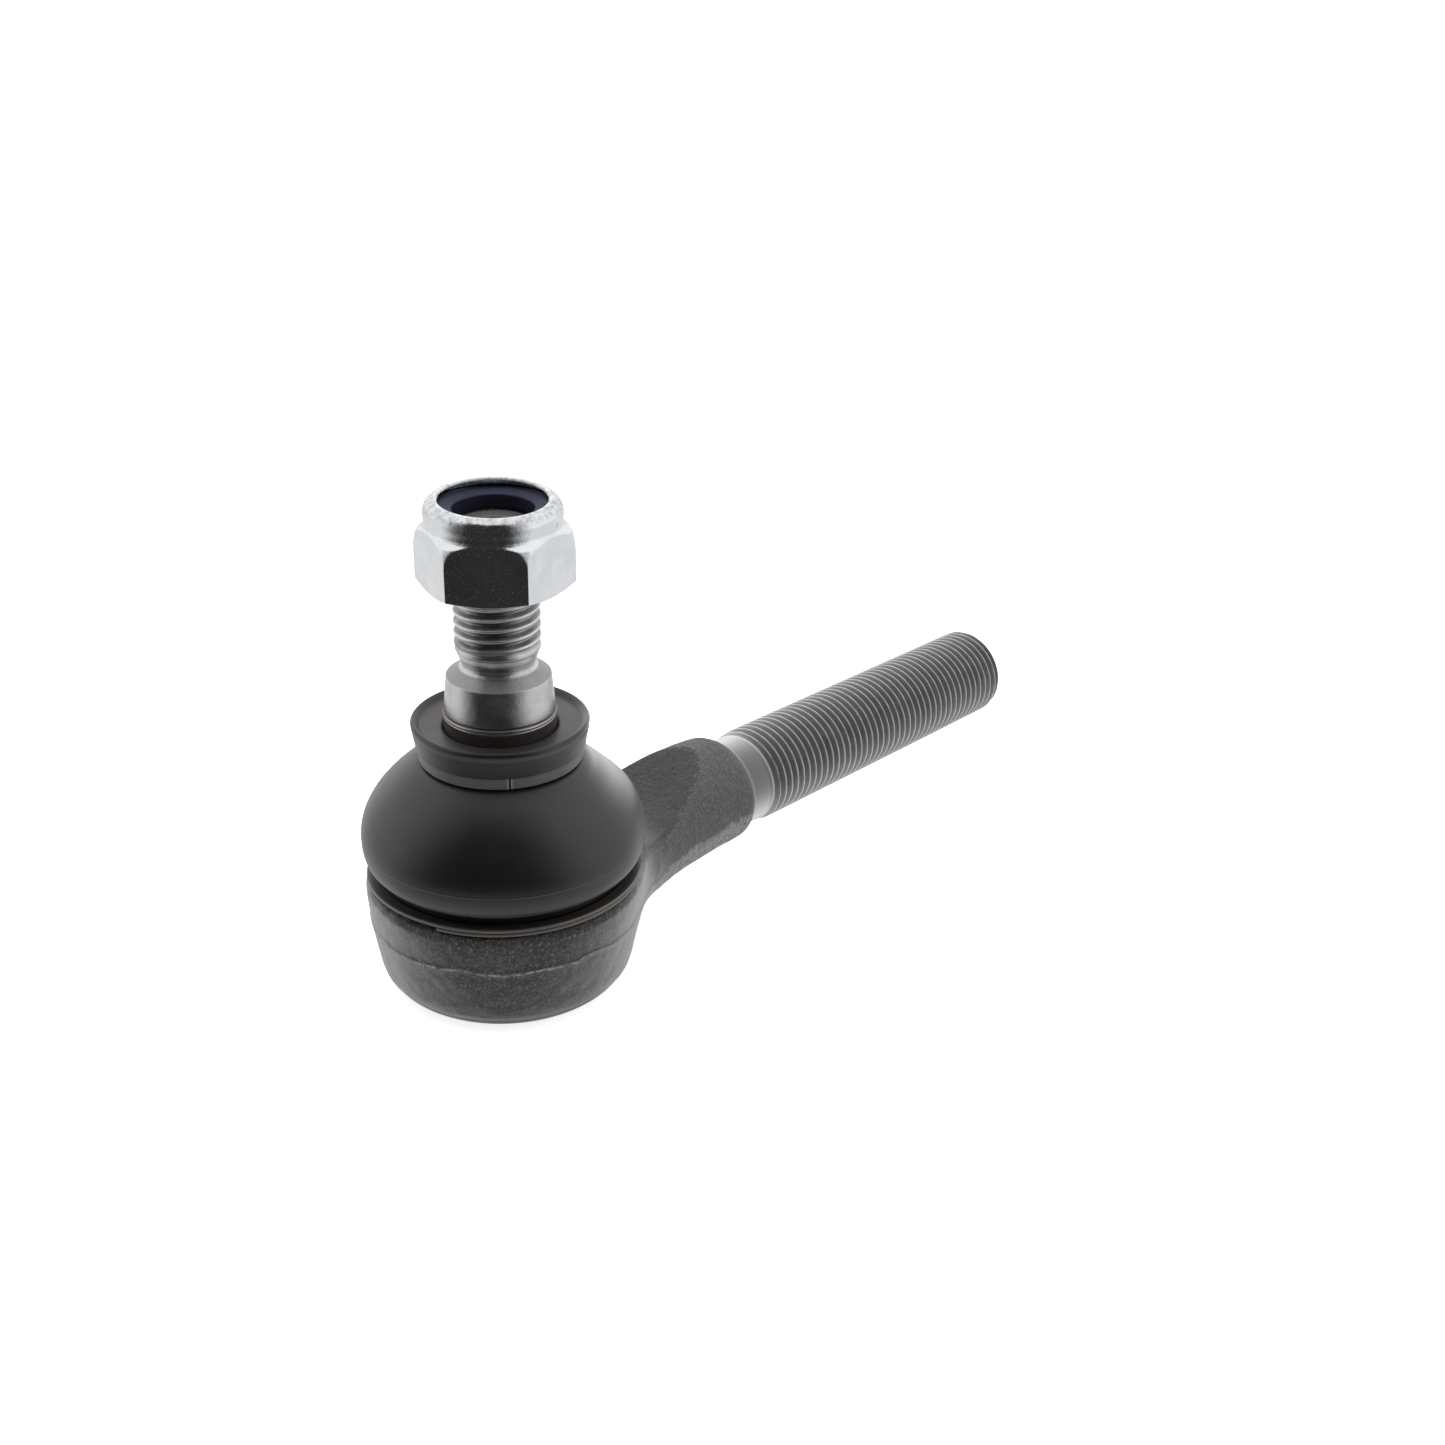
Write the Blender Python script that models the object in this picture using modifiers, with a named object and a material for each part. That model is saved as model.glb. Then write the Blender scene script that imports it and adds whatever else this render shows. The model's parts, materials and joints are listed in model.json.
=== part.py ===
"""Tie rod end: a ball joint with an M12 x 1.5 tapered stud and an M16 x 1.5 threaded shank.

+Z runs up the stud, and +X runs out along the shank. Sizes are written in millimetres from the
centre of the ball, and MM turns them into Blender's metres. The last step raises every piece by
BALL_CENTRE_Z, so that the origin is the middle of the closing plate's outer face.
A turned outline is a list of (radius, height) points that runs down its outer side.
"""

import math

import bmesh
import bpy
from mathutils import Vector
from mathutils.geometry import interpolate_bezier

MM = 0.001
MERGE = 0.00001
SHARP_ANGLE = math.radians(35)

# Ball and stud
BALL_RADIUS = 10.0
BALL_FLAT_Z = -8.6
STUD_NECK_RADIUS = 5.9
SEAL_RADIUS = 7.9
SEAL_BOTTOM_Z = 20.5
SEAL_TOP_Z = 28.4
CONE_BOTTOM = (7.79, 29.3)
CONE_TOP = (7.31, 34.4)
UNDERCUT_RADIUS = 5.0
STUD_THREAD_RADIUS = 6.0
STUD_THREAD_START_Z = 38.9
STUD_TIP_Z = 56.35
PITCH = 1.5
THREAD_DEPTH = 0.92

# Cup of the housing
CUP_BOTTOM_Z = -12.65
SHOULDER_Z = 3.6
BOOT_SEAT_RADIUS = 15.8
CUP_TOP_Z = 8.8
BORE_RADIUS = 12.6
BORE_TOP_Z = 5.3
MOUTH_RADIUS = 9.1
MOUTH_SLOPE = 0.4
PLATE_STEP_Z = -9.9
PLATE_SEAT_RADIUS = 14.2
CRIMP_Z = -12.1
CRIMP_RADIUS = 13.1

# Arm and shank of the housing
DISH_FLOOR_RADIUS = 27.0
DISH_RADIUS = 50.0
DISH_SLOPE = 0.53
SHANK_NECK_RADIUS = 7.3
SHANK_START_X = 40.0
SHANK_THREAD_RADIUS = 7.85
SHANK_THREAD_START_X = 50.4
SHANK_LAST_CREST_X = 112.3
SHANK_END_X = 114.0

# Bearing
SHELL_RADIUS = 12.3
SHELL_BALL_RADIUS = 10.25
SHELL_SPLIT = 0.2
SHELL_TOP_Z = 5.0
SHELL_FLOOR_Z = -10.45
SPRING_TOP_Z = -9.6
SPRING_BOTTOM_Z = -10.6
PLATE_TOP_Z = -10.75
PLATE_BOTTOM_Z = -12.0
PLATE_CENTRE_RISE = 0.25
PLATE_RADIUS = 13.9
BALL_CENTRE_Z = -(PLATE_BOTTOM_Z + PLATE_CENTRE_RISE)

# Boot and its two rings
LIP_BORE_RADIUS = 8.25
LIP_FLOOR_Z = 26.9
RIM = (12.4, 27.9)
UPPER_RING_BOTTOM_Z = 22.1
UPPER_RING_TOP_Z = 23.8
UPPER_RING_RADII = (10.6, 11.6)
UPPER_RING_GAP = 1.2
UPPER_RING_GAP_ANGLE = math.radians(235)
LOWER_RING_Z = 3.9
LOWER_RING_RADII = (18.25, 19.8)
LOWER_RING_TURN = 0.58
LOWER_RING_END_ANGLE = math.radians(201)

# Nut
NUT_BOTTOM_Z = 47.35
NUT_HEX_TOP_Z = 56.2
NUT_TOP_Z = 60.0
NUT_ACROSS_FLATS = 19.0
NUT_BEVEL_SLOPE = 0.43
NUT_TURN = math.radians(42.7)
NUT_BORE_RADIUS = 6.1
INSERT_BORE_RADIUS = 6.08
COLLAR_RADIUS = 9.35


def clear_scene():
    for obj in list(bpy.data.objects):
        bpy.data.objects.remove(obj, do_unlink=True)


def new_collection(name):
    made = bpy.data.collections.new(name)
    bpy.context.scene.collection.children.link(made)
    return made


def new_material(name, colour, roughness, metallic):
    made = bpy.data.materials.new(name)
    made.use_nodes = True
    shader = made.node_tree.nodes["Principled BSDF"]
    shader.inputs["Base Color"].default_value = (*colour, 1.0)
    shader.inputs["Roughness"].default_value = roughness
    shader.inputs["Metallic"].default_value = metallic
    return made


def link_mesh(name, mesh, where):
    obj = bpy.data.objects.new(name, mesh)
    where.objects.link(obj)
    return obj


def baked(obj, material=None):
    """Replaces the object's mesh with its evaluated one, shaded smooth with sharp edges."""
    graph = bpy.context.evaluated_depsgraph_get()
    mesh = bpy.data.meshes.new_from_object(obj.evaluated_get(graph))
    obj.modifiers.clear()
    obj.data = mesh
    mesh.materials.clear()
    if material:
        mesh.materials.append(material)
    mesh.shade_smooth()
    mesh.set_sharp_from_angle(angle=SHARP_ANGLE)
    return obj


def turned(name, outline, steps, where, closed=False):
    """A Screw around Z of (radius, height) points in millimetres."""
    mesh = bpy.data.meshes.new(name)
    points = [(radius * MM, 0.0, height * MM) for radius, height in outline]
    edges = [(i, i + 1) for i in range(len(points) - 1)]
    if closed:
        edges.append((len(points) - 1, 0))
    mesh.from_pydata(points, edges, [])
    obj = link_mesh(name, mesh, where)
    screw = obj.modifiers.new("Turn", "SCREW")
    screw.steps = steps
    screw.render_steps = steps
    screw.use_merge_vertices = True
    screw.merge_threshold = MERGE
    return baked(obj)


def boolean(target, other, operation):
    modifier = target.modifiers.new(operation.title(), "BOOLEAN")
    modifier.operation = operation
    modifier.object = other
    modifier.solver = "EXACT"


def as_cutter(obj):
    obj.hide_render = True
    obj.display_type = "WIRE"
    return obj


def box(name, low, high, where):
    """A box between two corners in millimetres."""
    mesh = bpy.data.meshes.new(name)
    shape = bmesh.new()
    bmesh.ops.create_cube(shape, size=1.0)
    size = (Vector(high) - Vector(low)) * MM
    middle = (Vector(high) + Vector(low)) * MM / 2
    bmesh.ops.scale(shape, vec=size, verts=shape.verts)
    bmesh.ops.translate(shape, vec=middle, verts=shape.verts)
    shape.to_mesh(mesh)
    shape.free()
    return link_mesh(name, mesh, where)


def arc(radius, start_height, end_height, count):
    """Points on a circle about the origin, from one height to another."""
    first = math.asin(start_height / radius)
    last = math.asin(end_height / radius)
    angles = [first + (last - first) * i / count for i in range(count + 1)]
    return [(radius * math.cos(a), radius * math.sin(a)) for a in angles]


def curve(start, handle_a, handle_b, end, count):
    corners = [Vector((*point, 0.0)) for point in (start, handle_a, handle_b, end)]
    return [(point.x, point.y) for point in interpolate_bezier(*corners, count)]


def thread(crest_radius, top, bottom):
    """Ridges one pitch apart, from the top crest down, that stand in for the helical thread."""
    points = []
    for turn in range(int((top - bottom) / PITCH) + 1):
        height = top - turn * PITCH
        points.append((crest_radius, height))
        points.append((crest_radius - THREAD_DEPTH, height - PITCH / 2))
    return points


def cup_outline():
    side = curve((20.05, 2.9), (19.9, -1.6), (19.05, -5.5), (18.6, -8.2), 5)
    edge = curve((18.6, -8.2), (18.2, -10.4), (17.4, -11.9), (16.1, CUP_BOTTOM_Z), 6)
    top = [(0.0, CUP_TOP_Z), (14.6, CUP_TOP_Z), (BOOT_SEAT_RADIUS, 7.8)]
    shoulder = [(BOOT_SEAT_RADIUS, SHOULDER_Z + 0.4), (19.1, SHOULDER_Z + 0.4)]
    return top + shoulder + side + edge[1:] + [(0.0, CUP_BOTTOM_Z)]


def bore_outline():
    above = 11.0
    below = -14.0
    mouth = MOUTH_RADIUS + (above - BORE_TOP_Z) * MOUTH_SLOPE
    return [
        (0.0, above),
        (mouth, above),
        (MOUTH_RADIUS, BORE_TOP_Z),
        (BORE_RADIUS, BORE_TOP_Z),
        (BORE_RADIUS, PLATE_STEP_Z),
        (PLATE_SEAT_RADIUS, PLATE_STEP_Z),
        (PLATE_SEAT_RADIUS, CRIMP_Z),
        (CRIMP_RADIUS, CRIMP_Z),
        (CRIMP_RADIUS, below),
        (0.0, below),
    ]


def shank_outline():
    tip = [(0.0, SHANK_END_X), (6.3, SHANK_END_X), (7.4, SHANK_END_X - 1.1)]
    neck = [(SHANK_NECK_RADIUS, SHANK_THREAD_START_X - 1.2), (SHANK_NECK_RADIUS, SHANK_START_X)]
    ridges = thread(SHANK_THREAD_RADIUS, SHANK_LAST_CREST_X, SHANK_THREAD_START_X)
    return tip + ridges + neck + [(0.0, SHANK_START_X)]


def dish_outline():
    """The face that is turned about the stud's axis, round the boot seat and up into the arm."""
    above = 20.0
    wall_z = SHOULDER_Z + (DISH_RADIUS - DISH_FLOOR_RADIUS) * DISH_SLOPE
    return [
        (BOOT_SEAT_RADIUS, above),
        (DISH_RADIUS, above),
        (DISH_RADIUS, wall_z),
        (DISH_FLOOR_RADIUS, SHOULDER_Z),
        (BOOT_SEAT_RADIUS, SHOULDER_Z),
    ]


def arm(where):
    """A loft of ovals from inside the cup's wall to the shank: (x, half width, top, bottom)."""
    sections = (
        (14.0, 12.2, 6.0, 9.1),
        (20.0, 11.8, 7.0, 9.5),
        (24.0, 10.8, 8.5, 9.3),
        (28.0, 9.9, 9.2, 8.9),
        (32.0, 9.4, 9.5, 8.5),
        (36.0, 9.2, 9.6, 8.1),
        (40.0, 9.1, 9.6, 7.9),
        (43.3, 8.9, 9.3, 8.0),
        (44.8, 8.5, 8.7, 8.1),
        (45.6, 7.9, 7.9, 7.9),
    )
    around = 28
    shape = bmesh.new()
    rings = []
    for x, half_width, top, bottom in sections:
        ring = []
        for step in range(around):
            angle = 2 * math.pi * step / around
            rise = top if math.sin(angle) > 0 else bottom
            point = (x, half_width * math.cos(angle), rise * math.sin(angle))
            ring.append(shape.verts.new(Vector(point) * MM))
        rings.append(ring)
    for ring, following in zip(rings, rings[1:]):
        for step in range(around):
            after = (step + 1) % around
            shape.faces.new((ring[step], following[step], following[after], ring[after]))
    shape.faces.new(rings[0])
    shape.faces.new(list(reversed(rings[-1])))
    bmesh.ops.recalc_face_normals(shape, faces=shape.faces)
    mesh = bpy.data.meshes.new("arm")
    shape.to_mesh(mesh)
    shape.free()
    return link_mesh("arm", mesh, where)


def make_housing(parts, cutters, material):
    housing = turned("housing", cup_outline(), 40, parts)
    forged_arm = as_cutter(arm(cutters))
    shank = as_cutter(turned("shank", shank_outline(), 16, cutters))
    shank.rotation_euler.y = math.radians(90)
    dish = as_cutter(turned("dish", dish_outline(), 40, cutters, closed=True))
    bore = as_cutter(turned("bore", bore_outline(), 40, cutters))
    bpy.context.view_layer.update()
    boolean(housing, forged_arm, "UNION")
    boolean(housing, shank, "UNION")
    boolean(housing, dish, "DIFFERENCE")
    boolean(housing, bore, "DIFFERENCE")
    return baked(housing, material)


def stud_outline():
    tip_recess = [(0.0, STUD_TIP_Z - 1.6), (1.7, STUD_TIP_Z - 0.6), (2.4, STUD_TIP_Z)]
    tip = [(4.9, STUD_TIP_Z)]
    ridges = thread(STUD_THREAD_RADIUS, STUD_TIP_Z - 1.1, STUD_THREAD_START_Z)
    undercut = [(5.55, 38.0), (UNDERCUT_RADIUS, 37.25), (UNDERCUT_RADIUS, 36.1), (5.6, 35.7)]
    seal = [(SEAL_RADIUS, SEAL_TOP_Z + 0.4), (SEAL_RADIUS, SEAL_BOTTOM_Z)]
    neck_bottom = math.sqrt(BALL_RADIUS**2 - STUD_NECK_RADIUS**2)
    waist = (STUD_NECK_RADIUS, 12.5)
    neck = curve((SEAL_RADIUS, SEAL_BOTTOM_Z), (SEAL_RADIUS, 17.0), (STUD_NECK_RADIUS, 16.0), waist, 5)
    ball = arc(BALL_RADIUS, neck_bottom, BALL_FLAT_Z, 11)
    above = tip_recess + tip + ridges + undercut + [CONE_TOP, CONE_BOTTOM]
    return above + seal + neck[1:] + ball + [(0.0, BALL_FLAT_Z)]


def make_stud(parts, material):
    return baked(turned("ball_stud", stud_outline(), 24, parts), material)


def make_shells(parts, material):
    ball_wall = arc(SHELL_BALL_RADIUS, SHELL_SPLIT, SHELL_TOP_Z, 5)
    upper = [(SHELL_RADIUS, SHELL_TOP_Z), (SHELL_RADIUS, SHELL_SPLIT)] + ball_wall
    baked(turned("upper_bearing_shell", upper, 32, parts, closed=True), material)
    mouth_z = -9.0
    ball_wall = arc(SHELL_BALL_RADIUS, mouth_z, -SHELL_SPLIT, 8)
    hub_inner = ball_wall[0][0]
    under_z = SPRING_TOP_Z + 0.2
    lower = [
        (SHELL_RADIUS, -SHELL_SPLIT),
        (SHELL_RADIUS, under_z),
        (7.0, under_z),
        (6.8, SHELL_FLOOR_Z),
        (hub_inner, SHELL_FLOOR_Z),
    ]
    baked(turned("lower_bearing_shell", lower + ball_wall, 32, parts, closed=True), material)


def make_spring(parts, material):
    thickness = 0.6
    inner, outer = 7.4, 12.0
    outline = [
        (inner, SPRING_TOP_Z),
        (outer, SPRING_BOTTOM_Z + thickness),
        (outer, SPRING_BOTTOM_Z),
        (inner, SPRING_TOP_Z - thickness),
    ]
    return baked(turned("preload_spring", outline, 32, parts, closed=True), material)


def make_plate(parts, material):
    centre_z = PLATE_BOTTOM_Z + PLATE_CENTRE_RISE
    outline = [
        (0.0, PLATE_TOP_Z),
        (PLATE_RADIUS, PLATE_TOP_Z),
        (PLATE_RADIUS, PLATE_BOTTOM_Z),
        (8.5, PLATE_BOTTOM_Z),
        (7.7, centre_z),
        (0.0, centre_z),
    ]
    return baked(turned("closing_plate", outline, 36, parts), material)


def make_plate_seal(parts, material):
    gap = 0.15
    inner, outer = 12.8, 13.9
    top, bottom = PLATE_STEP_Z - gap, PLATE_TOP_Z + gap
    outline = [(inner, top), (outer, top), (outer, bottom), (inner, bottom)]
    return baked(turned("plate_seal", outline, 36, parts, closed=True), material)


def boot_outline():
    lip = [(LIP_BORE_RADIUS, LIP_FLOOR_Z), (11.0, LIP_FLOOR_Z), RIM, (12.45, 27.6), (11.75, 23.95)]
    groove = [(10.3, 23.95), (10.3, 21.95)]
    slope = curve((11.5, 21.9), (15.1, 19.9), (20.25, 15.0), (20.25, 10.3), 7)
    belly = curve((20.25, 10.3), (20.25, 7.6), (19.6, 6.3), (17.95, 6.2), 5)
    bead = [(17.95, LOWER_RING_Z + 0.05), (16.2, LOWER_RING_Z + 0.05), (16.2, 6.4)]
    inner_belly = curve((17.2, 6.9), (18.6, 7.4), (18.95, 8.6), (18.95, 10.3), 4)
    inner_slope = curve((18.95, 10.3), (18.95, 14.0), (13.9, 18.6), (10.6, 20.7), 6)
    return lip + groove + slope + belly[1:] + bead + inner_belly + inner_slope[1:] + [(LIP_BORE_RADIUS, 21.2)]


def make_boot(parts, material):
    return baked(turned("dust_boot", boot_outline(), 32, parts, closed=True), material)


def make_upper_ring(parts, cutters, material):
    inner, outer = UPPER_RING_RADII
    outline = [
        (inner, UPPER_RING_TOP_Z),
        (outer, UPPER_RING_TOP_Z),
        (outer, UPPER_RING_BOTTOM_Z),
        (inner, UPPER_RING_BOTTOM_Z),
    ]
    ring = turned("boot_upper_ring", outline, 40, parts, closed=True)
    half_gap = UPPER_RING_GAP / 2
    low = (9.0, -half_gap, UPPER_RING_BOTTOM_Z - 1)
    high = (13.0, half_gap, UPPER_RING_TOP_Z + 1)
    split = as_cutter(box("split_cutter", low, high, cutters))
    split.rotation_euler.z = UPPER_RING_GAP_ANGLE
    bpy.context.view_layer.update()
    boolean(ring, split, "DIFFERENCE")
    return baked(ring, material)


def make_lower_ring(parts, material):
    """Flat wire wound on edge for nearly two turns: it crosses from the lower turn to the upper one."""
    per_turn = 36
    crossing = 7
    inner, outer = LOWER_RING_RADII
    wire = LOWER_RING_TURN - 0.06
    shape = bmesh.new()
    sections = []
    for step in range(2 * per_turn - crossing + 1):
        angle = LOWER_RING_END_ANGLE + 2 * math.pi * step / per_turn
        climb = LOWER_RING_TURN * min(1.0, max(0.0, (step - per_turn + crossing) / crossing))
        bottom = LOWER_RING_Z + climb
        corners = ((inner, bottom), (outer, bottom), (outer, bottom + wire), (inner, bottom + wire))
        section = []
        for radius, height in corners:
            point = Vector((radius * math.cos(angle), radius * math.sin(angle), height))
            section.append(shape.verts.new(point * MM))
        sections.append(section)
    for section, following in zip(sections, sections[1:]):
        for side in range(4):
            after = (side + 1) % 4
            shape.faces.new((section[side], section[after], following[after], following[side]))
    shape.faces.new(sections[0])
    shape.faces.new(list(reversed(sections[-1])))
    bmesh.ops.recalc_face_normals(shape, faces=shape.faces)
    mesh = bpy.data.meshes.new("boot_lower_ring")
    shape.to_mesh(mesh)
    shape.free()
    return baked(link_mesh("boot_lower_ring", mesh, parts), material)


def make_nut(parts, cutters, material):
    height = NUT_HEX_TOP_Z - NUT_BOTTOM_Z
    corner = NUT_ACROSS_FLATS / math.sqrt(3)
    mesh = bpy.data.meshes.new("lock_nut")
    shape = bmesh.new()
    bmesh.ops.create_cone(
        shape, cap_ends=True, segments=6, radius1=corner * MM, radius2=corner * MM, depth=height * MM
    )
    bmesh.ops.translate(shape, vec=(0, 0, height / 2 * MM), verts=shape.verts)
    shape.to_mesh(mesh)
    shape.free()
    nut = link_mesh("lock_nut", mesh, parts)
    nut.location.z = NUT_BOTTOM_Z * MM
    nut.rotation_euler.z = NUT_TURN
    # The turned blank rounds the hexagon's upper corners into shoulders and bevels its lower ones.
    wide, bevel_radius = corner + 0.3, 9.0
    bevel = (wide - bevel_radius) * NUT_BEVEL_SLOPE
    blank = [
        (0.0, NUT_HEX_TOP_Z),
        (9.3, NUT_HEX_TOP_Z),
        (9.9, NUT_HEX_TOP_Z - 0.3),
        (10.4, NUT_HEX_TOP_Z - 1.2),
        (10.8, NUT_HEX_TOP_Z - 2.5),
        (wide, NUT_HEX_TOP_Z - 4.8),
        (wide, NUT_BOTTOM_Z + bevel),
        (bevel_radius, NUT_BOTTOM_Z),
        (0.0, NUT_BOTTOM_Z),
    ]
    collar_roll = curve((COLLAR_RADIUS, 57.9), (COLLAR_RADIUS, 59.3), (8.6, NUT_TOP_Z), (7.7, NUT_TOP_Z), 5)
    collar = [(0.0, NUT_TOP_Z)] + list(reversed(collar_roll)) + [(COLLAR_RADIUS, 56.0), (0.0, 56.0)]
    hole = [
        (0.0, NUT_TOP_Z + 2),
        (7.9, NUT_TOP_Z + 2),
        (7.05, 59.35),
        (8.3, 59.25),
        (8.3, 56.0),
        (NUT_BORE_RADIUS, 56.0),
        (NUT_BORE_RADIUS, NUT_BOTTOM_Z + 0.6),
        (6.7, NUT_BOTTOM_Z),
        (6.7, NUT_BOTTOM_Z - 2),
        (0.0, NUT_BOTTOM_Z - 2),
    ]
    tools = (("nut_blank", blank, "INTERSECT"), ("nut_collar", collar, "UNION"), ("nut_hole", hole, "DIFFERENCE"))
    for name, outline, operation in tools:
        boolean(nut, as_cutter(turned(name, outline, 36, cutters)), operation)
    bpy.context.view_layer.update()
    return baked(nut, material)


def make_insert(parts, material):
    outline = [(INSERT_BORE_RADIUS, 59.05), (8.0, 59.05), (8.0, 56.3), (INSERT_BORE_RADIUS, 56.3)]
    return baked(turned("nylon_insert", outline, 32, parts, closed=True), material)


def hang_pieces_on_ball_centre(parts):
    """Every piece hangs on one empty at the ball's centre, which sets where the origin falls."""
    pieces = list(parts.objects)
    pivot = bpy.data.objects.new("ball_centre", None)
    pivot.location.z = BALL_CENTRE_Z * MM
    parts.objects.link(pivot)
    for piece in pieces:
        piece.parent = pivot


def main():
    clear_scene()
    parts = new_collection("tie_rod_end")
    cutters = new_collection("cutters")
    forging = new_material("forged_steel", (0.075, 0.077, 0.08), 0.62, 0.55)
    turned_steel = new_material("turned_steel", (0.56, 0.56, 0.55), 0.28, 1.0)
    polymer = new_material("bearing_polymer", (0.78, 0.76, 0.7), 0.45, 0.0)
    spring_steel = new_material("spring_steel", (0.2, 0.17, 0.15), 0.4, 0.9)
    plate_steel = new_material("plate_steel", (0.32, 0.32, 0.32), 0.4, 0.9)
    rubber = new_material("boot_rubber", (0.022, 0.022, 0.024), 0.55, 0.0)
    ring_polymer = new_material("ring_polymer", (0.14, 0.14, 0.15), 0.45, 0.0)
    zinc = new_material("zinc_plate", (0.8, 0.81, 0.82), 0.16, 1.0)
    nylon = new_material("nylon", (0.02, 0.03, 0.09), 0.4, 0.0)

    make_housing(parts, cutters, forging)
    make_stud(parts, turned_steel)
    make_shells(parts, polymer)
    make_spring(parts, spring_steel)
    make_plate(parts, plate_steel)
    make_plate_seal(parts, rubber)
    make_boot(parts, rubber)
    make_upper_ring(parts, cutters, ring_polymer)
    make_lower_ring(parts, spring_steel)
    make_nut(parts, cutters, zinc)
    make_insert(parts, nylon)
    hang_pieces_on_ball_centre(parts)


main()
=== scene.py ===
"""Looks of the tie rod end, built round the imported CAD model.

Lengths are millimetres from the centre of the ball: +Z runs up the stud and +X along the shank.
build() turns them into the frame's metres. A path is a list of (radius, height) points.
"""

import json
import math

import bmesh
import bpy
import numpy as np
from mathutils import Matrix, Vector, noise


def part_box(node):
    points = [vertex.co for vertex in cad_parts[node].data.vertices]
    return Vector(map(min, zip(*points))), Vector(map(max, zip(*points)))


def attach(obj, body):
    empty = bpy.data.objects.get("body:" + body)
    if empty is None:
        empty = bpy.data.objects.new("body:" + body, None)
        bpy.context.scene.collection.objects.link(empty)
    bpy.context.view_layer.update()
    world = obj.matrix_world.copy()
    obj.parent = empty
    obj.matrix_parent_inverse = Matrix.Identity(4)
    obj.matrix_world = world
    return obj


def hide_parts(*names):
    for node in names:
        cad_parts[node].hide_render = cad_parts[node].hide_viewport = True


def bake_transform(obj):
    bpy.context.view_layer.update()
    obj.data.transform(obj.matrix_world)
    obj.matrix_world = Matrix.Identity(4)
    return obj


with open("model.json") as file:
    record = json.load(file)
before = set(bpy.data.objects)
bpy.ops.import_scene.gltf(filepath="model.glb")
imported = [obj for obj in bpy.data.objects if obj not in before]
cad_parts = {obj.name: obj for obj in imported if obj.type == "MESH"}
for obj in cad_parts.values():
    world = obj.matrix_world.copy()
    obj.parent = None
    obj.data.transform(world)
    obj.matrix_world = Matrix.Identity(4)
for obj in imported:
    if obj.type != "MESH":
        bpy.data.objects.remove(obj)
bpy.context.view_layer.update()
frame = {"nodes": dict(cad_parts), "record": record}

MM = 0.001
BEHAVIOUR = frame["record"]["behaviour"]
BALL = np.array(BEHAVIOUR["joints"][0]["pos_m"])
PITCH = 2 * math.pi / BEHAVIOUR["couplings"][0]["ratio"] / MM


def extent(node):
    """Lowest and highest corner of a CAD node, in millimetres from the centre of the ball."""
    low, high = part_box(node)
    return (np.array(low) - BALL) / MM, (np.array(high) - BALL) / MM


def corner_angle(node):
    """Angle round the stud of the node's outermost corner."""
    mesh = frame["nodes"][node].data
    spots = np.array([tuple(vertex.co) for vertex in mesh.vertices]) - BALL
    farthest = spots[np.argmax(np.hypot(spots[:, 0], spots[:, 1]))]
    return math.atan2(farthest[1], farthest[0])


HOUSING_LOW, HOUSING_HIGH = extent("housing")
STUD_LOW, STUD_HIGH = extent("ball_stud")
PLATE_LOW, PLATE_HIGH = extent("closing_plate")
BOOT_LOW, BOOT_HIGH = extent("dust_boot")
UPPER_RING_LOW, UPPER_RING_HIGH = extent("boot_upper_ring")
LOWER_RING_LOW, LOWER_RING_HIGH = extent("boot_lower_ring")
NUT_LOW, NUT_HIGH = extent("lock_nut")
INSERT_LOW, INSERT_HIGH = extent("nylon_insert")

CUP_RADIUS = -HOUSING_LOW[0]
CUP_BOTTOM = HOUSING_LOW[2]
SHANK_END = HOUSING_HIGH[0]
BALL_RADIUS = STUD_HIGH[0]
STUD_TIP = STUD_HIGH[2]
BOOT_RADIUS = BOOT_HIGH[0]
BOOT_SEAM = 14.5
VOXEL = 0.33


# ---------------------------------------------------------------- outlines


def bezier(a, b, c, d, count):
    """Points along a cubic Bezier curve."""
    a, b, c, d = map(np.array, (a, b, c, d))
    t = np.linspace(0, 1, count + 1)[:, None]
    points = (1 - t) ** 3 * a + 3 * (1 - t) ** 2 * t * b + 3 * (1 - t) * t**2 * c + t**3 * d
    return [tuple(point) for point in points]


def arc(radius, start, end, count):
    """Points on a circle about the origin, between two heights."""
    angles = np.linspace(math.asin(start / radius), math.asin(end / radius), count + 1)
    return [(radius * math.cos(a), radius * math.sin(a)) for a in angles]


def rounded(corners, closed=False, steps=4):
    """A path through (radius, height, rounding) corners. Rounding is the length taken off each side."""
    path = []
    last = len(corners) - 1
    for i, corner in enumerate(corners):
        here = np.array(corner[:2])
        size = corner[2] if len(corner) > 2 else 0.0
        if size == 0.0 or (not closed and i in (0, last)):
            path.append(tuple(here))
            continue
        before = np.array(corners[i - 1][:2]) - here
        after = np.array(corners[(i + 1) % len(corners)][:2]) - here
        start = here + before / np.linalg.norm(before) * size
        end = here + after / np.linalg.norm(after) * size
        for t in np.linspace(0, 1, steps + 1):
            path.append(tuple((1 - t) ** 2 * start + 2 * t * (1 - t) * here + t**2 * end))
    return path


def divided(path, longest, closed=False):
    """The path with its long stretches cut into pieces no longer than this."""
    points = list(path) + ([path[0]] if closed else [])
    out = []
    for a, b in zip(points, points[1:]):
        count = max(1, math.ceil(math.dist(a, b) / longest))
        for i in range(count):
            out.append((a[0] + (b[0] - a[0]) * i / count, a[1] + (b[1] - a[1]) * i / count))
    return out if closed else out + [points[-1]]


# ---------------------------------------------------------------- meshes


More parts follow.
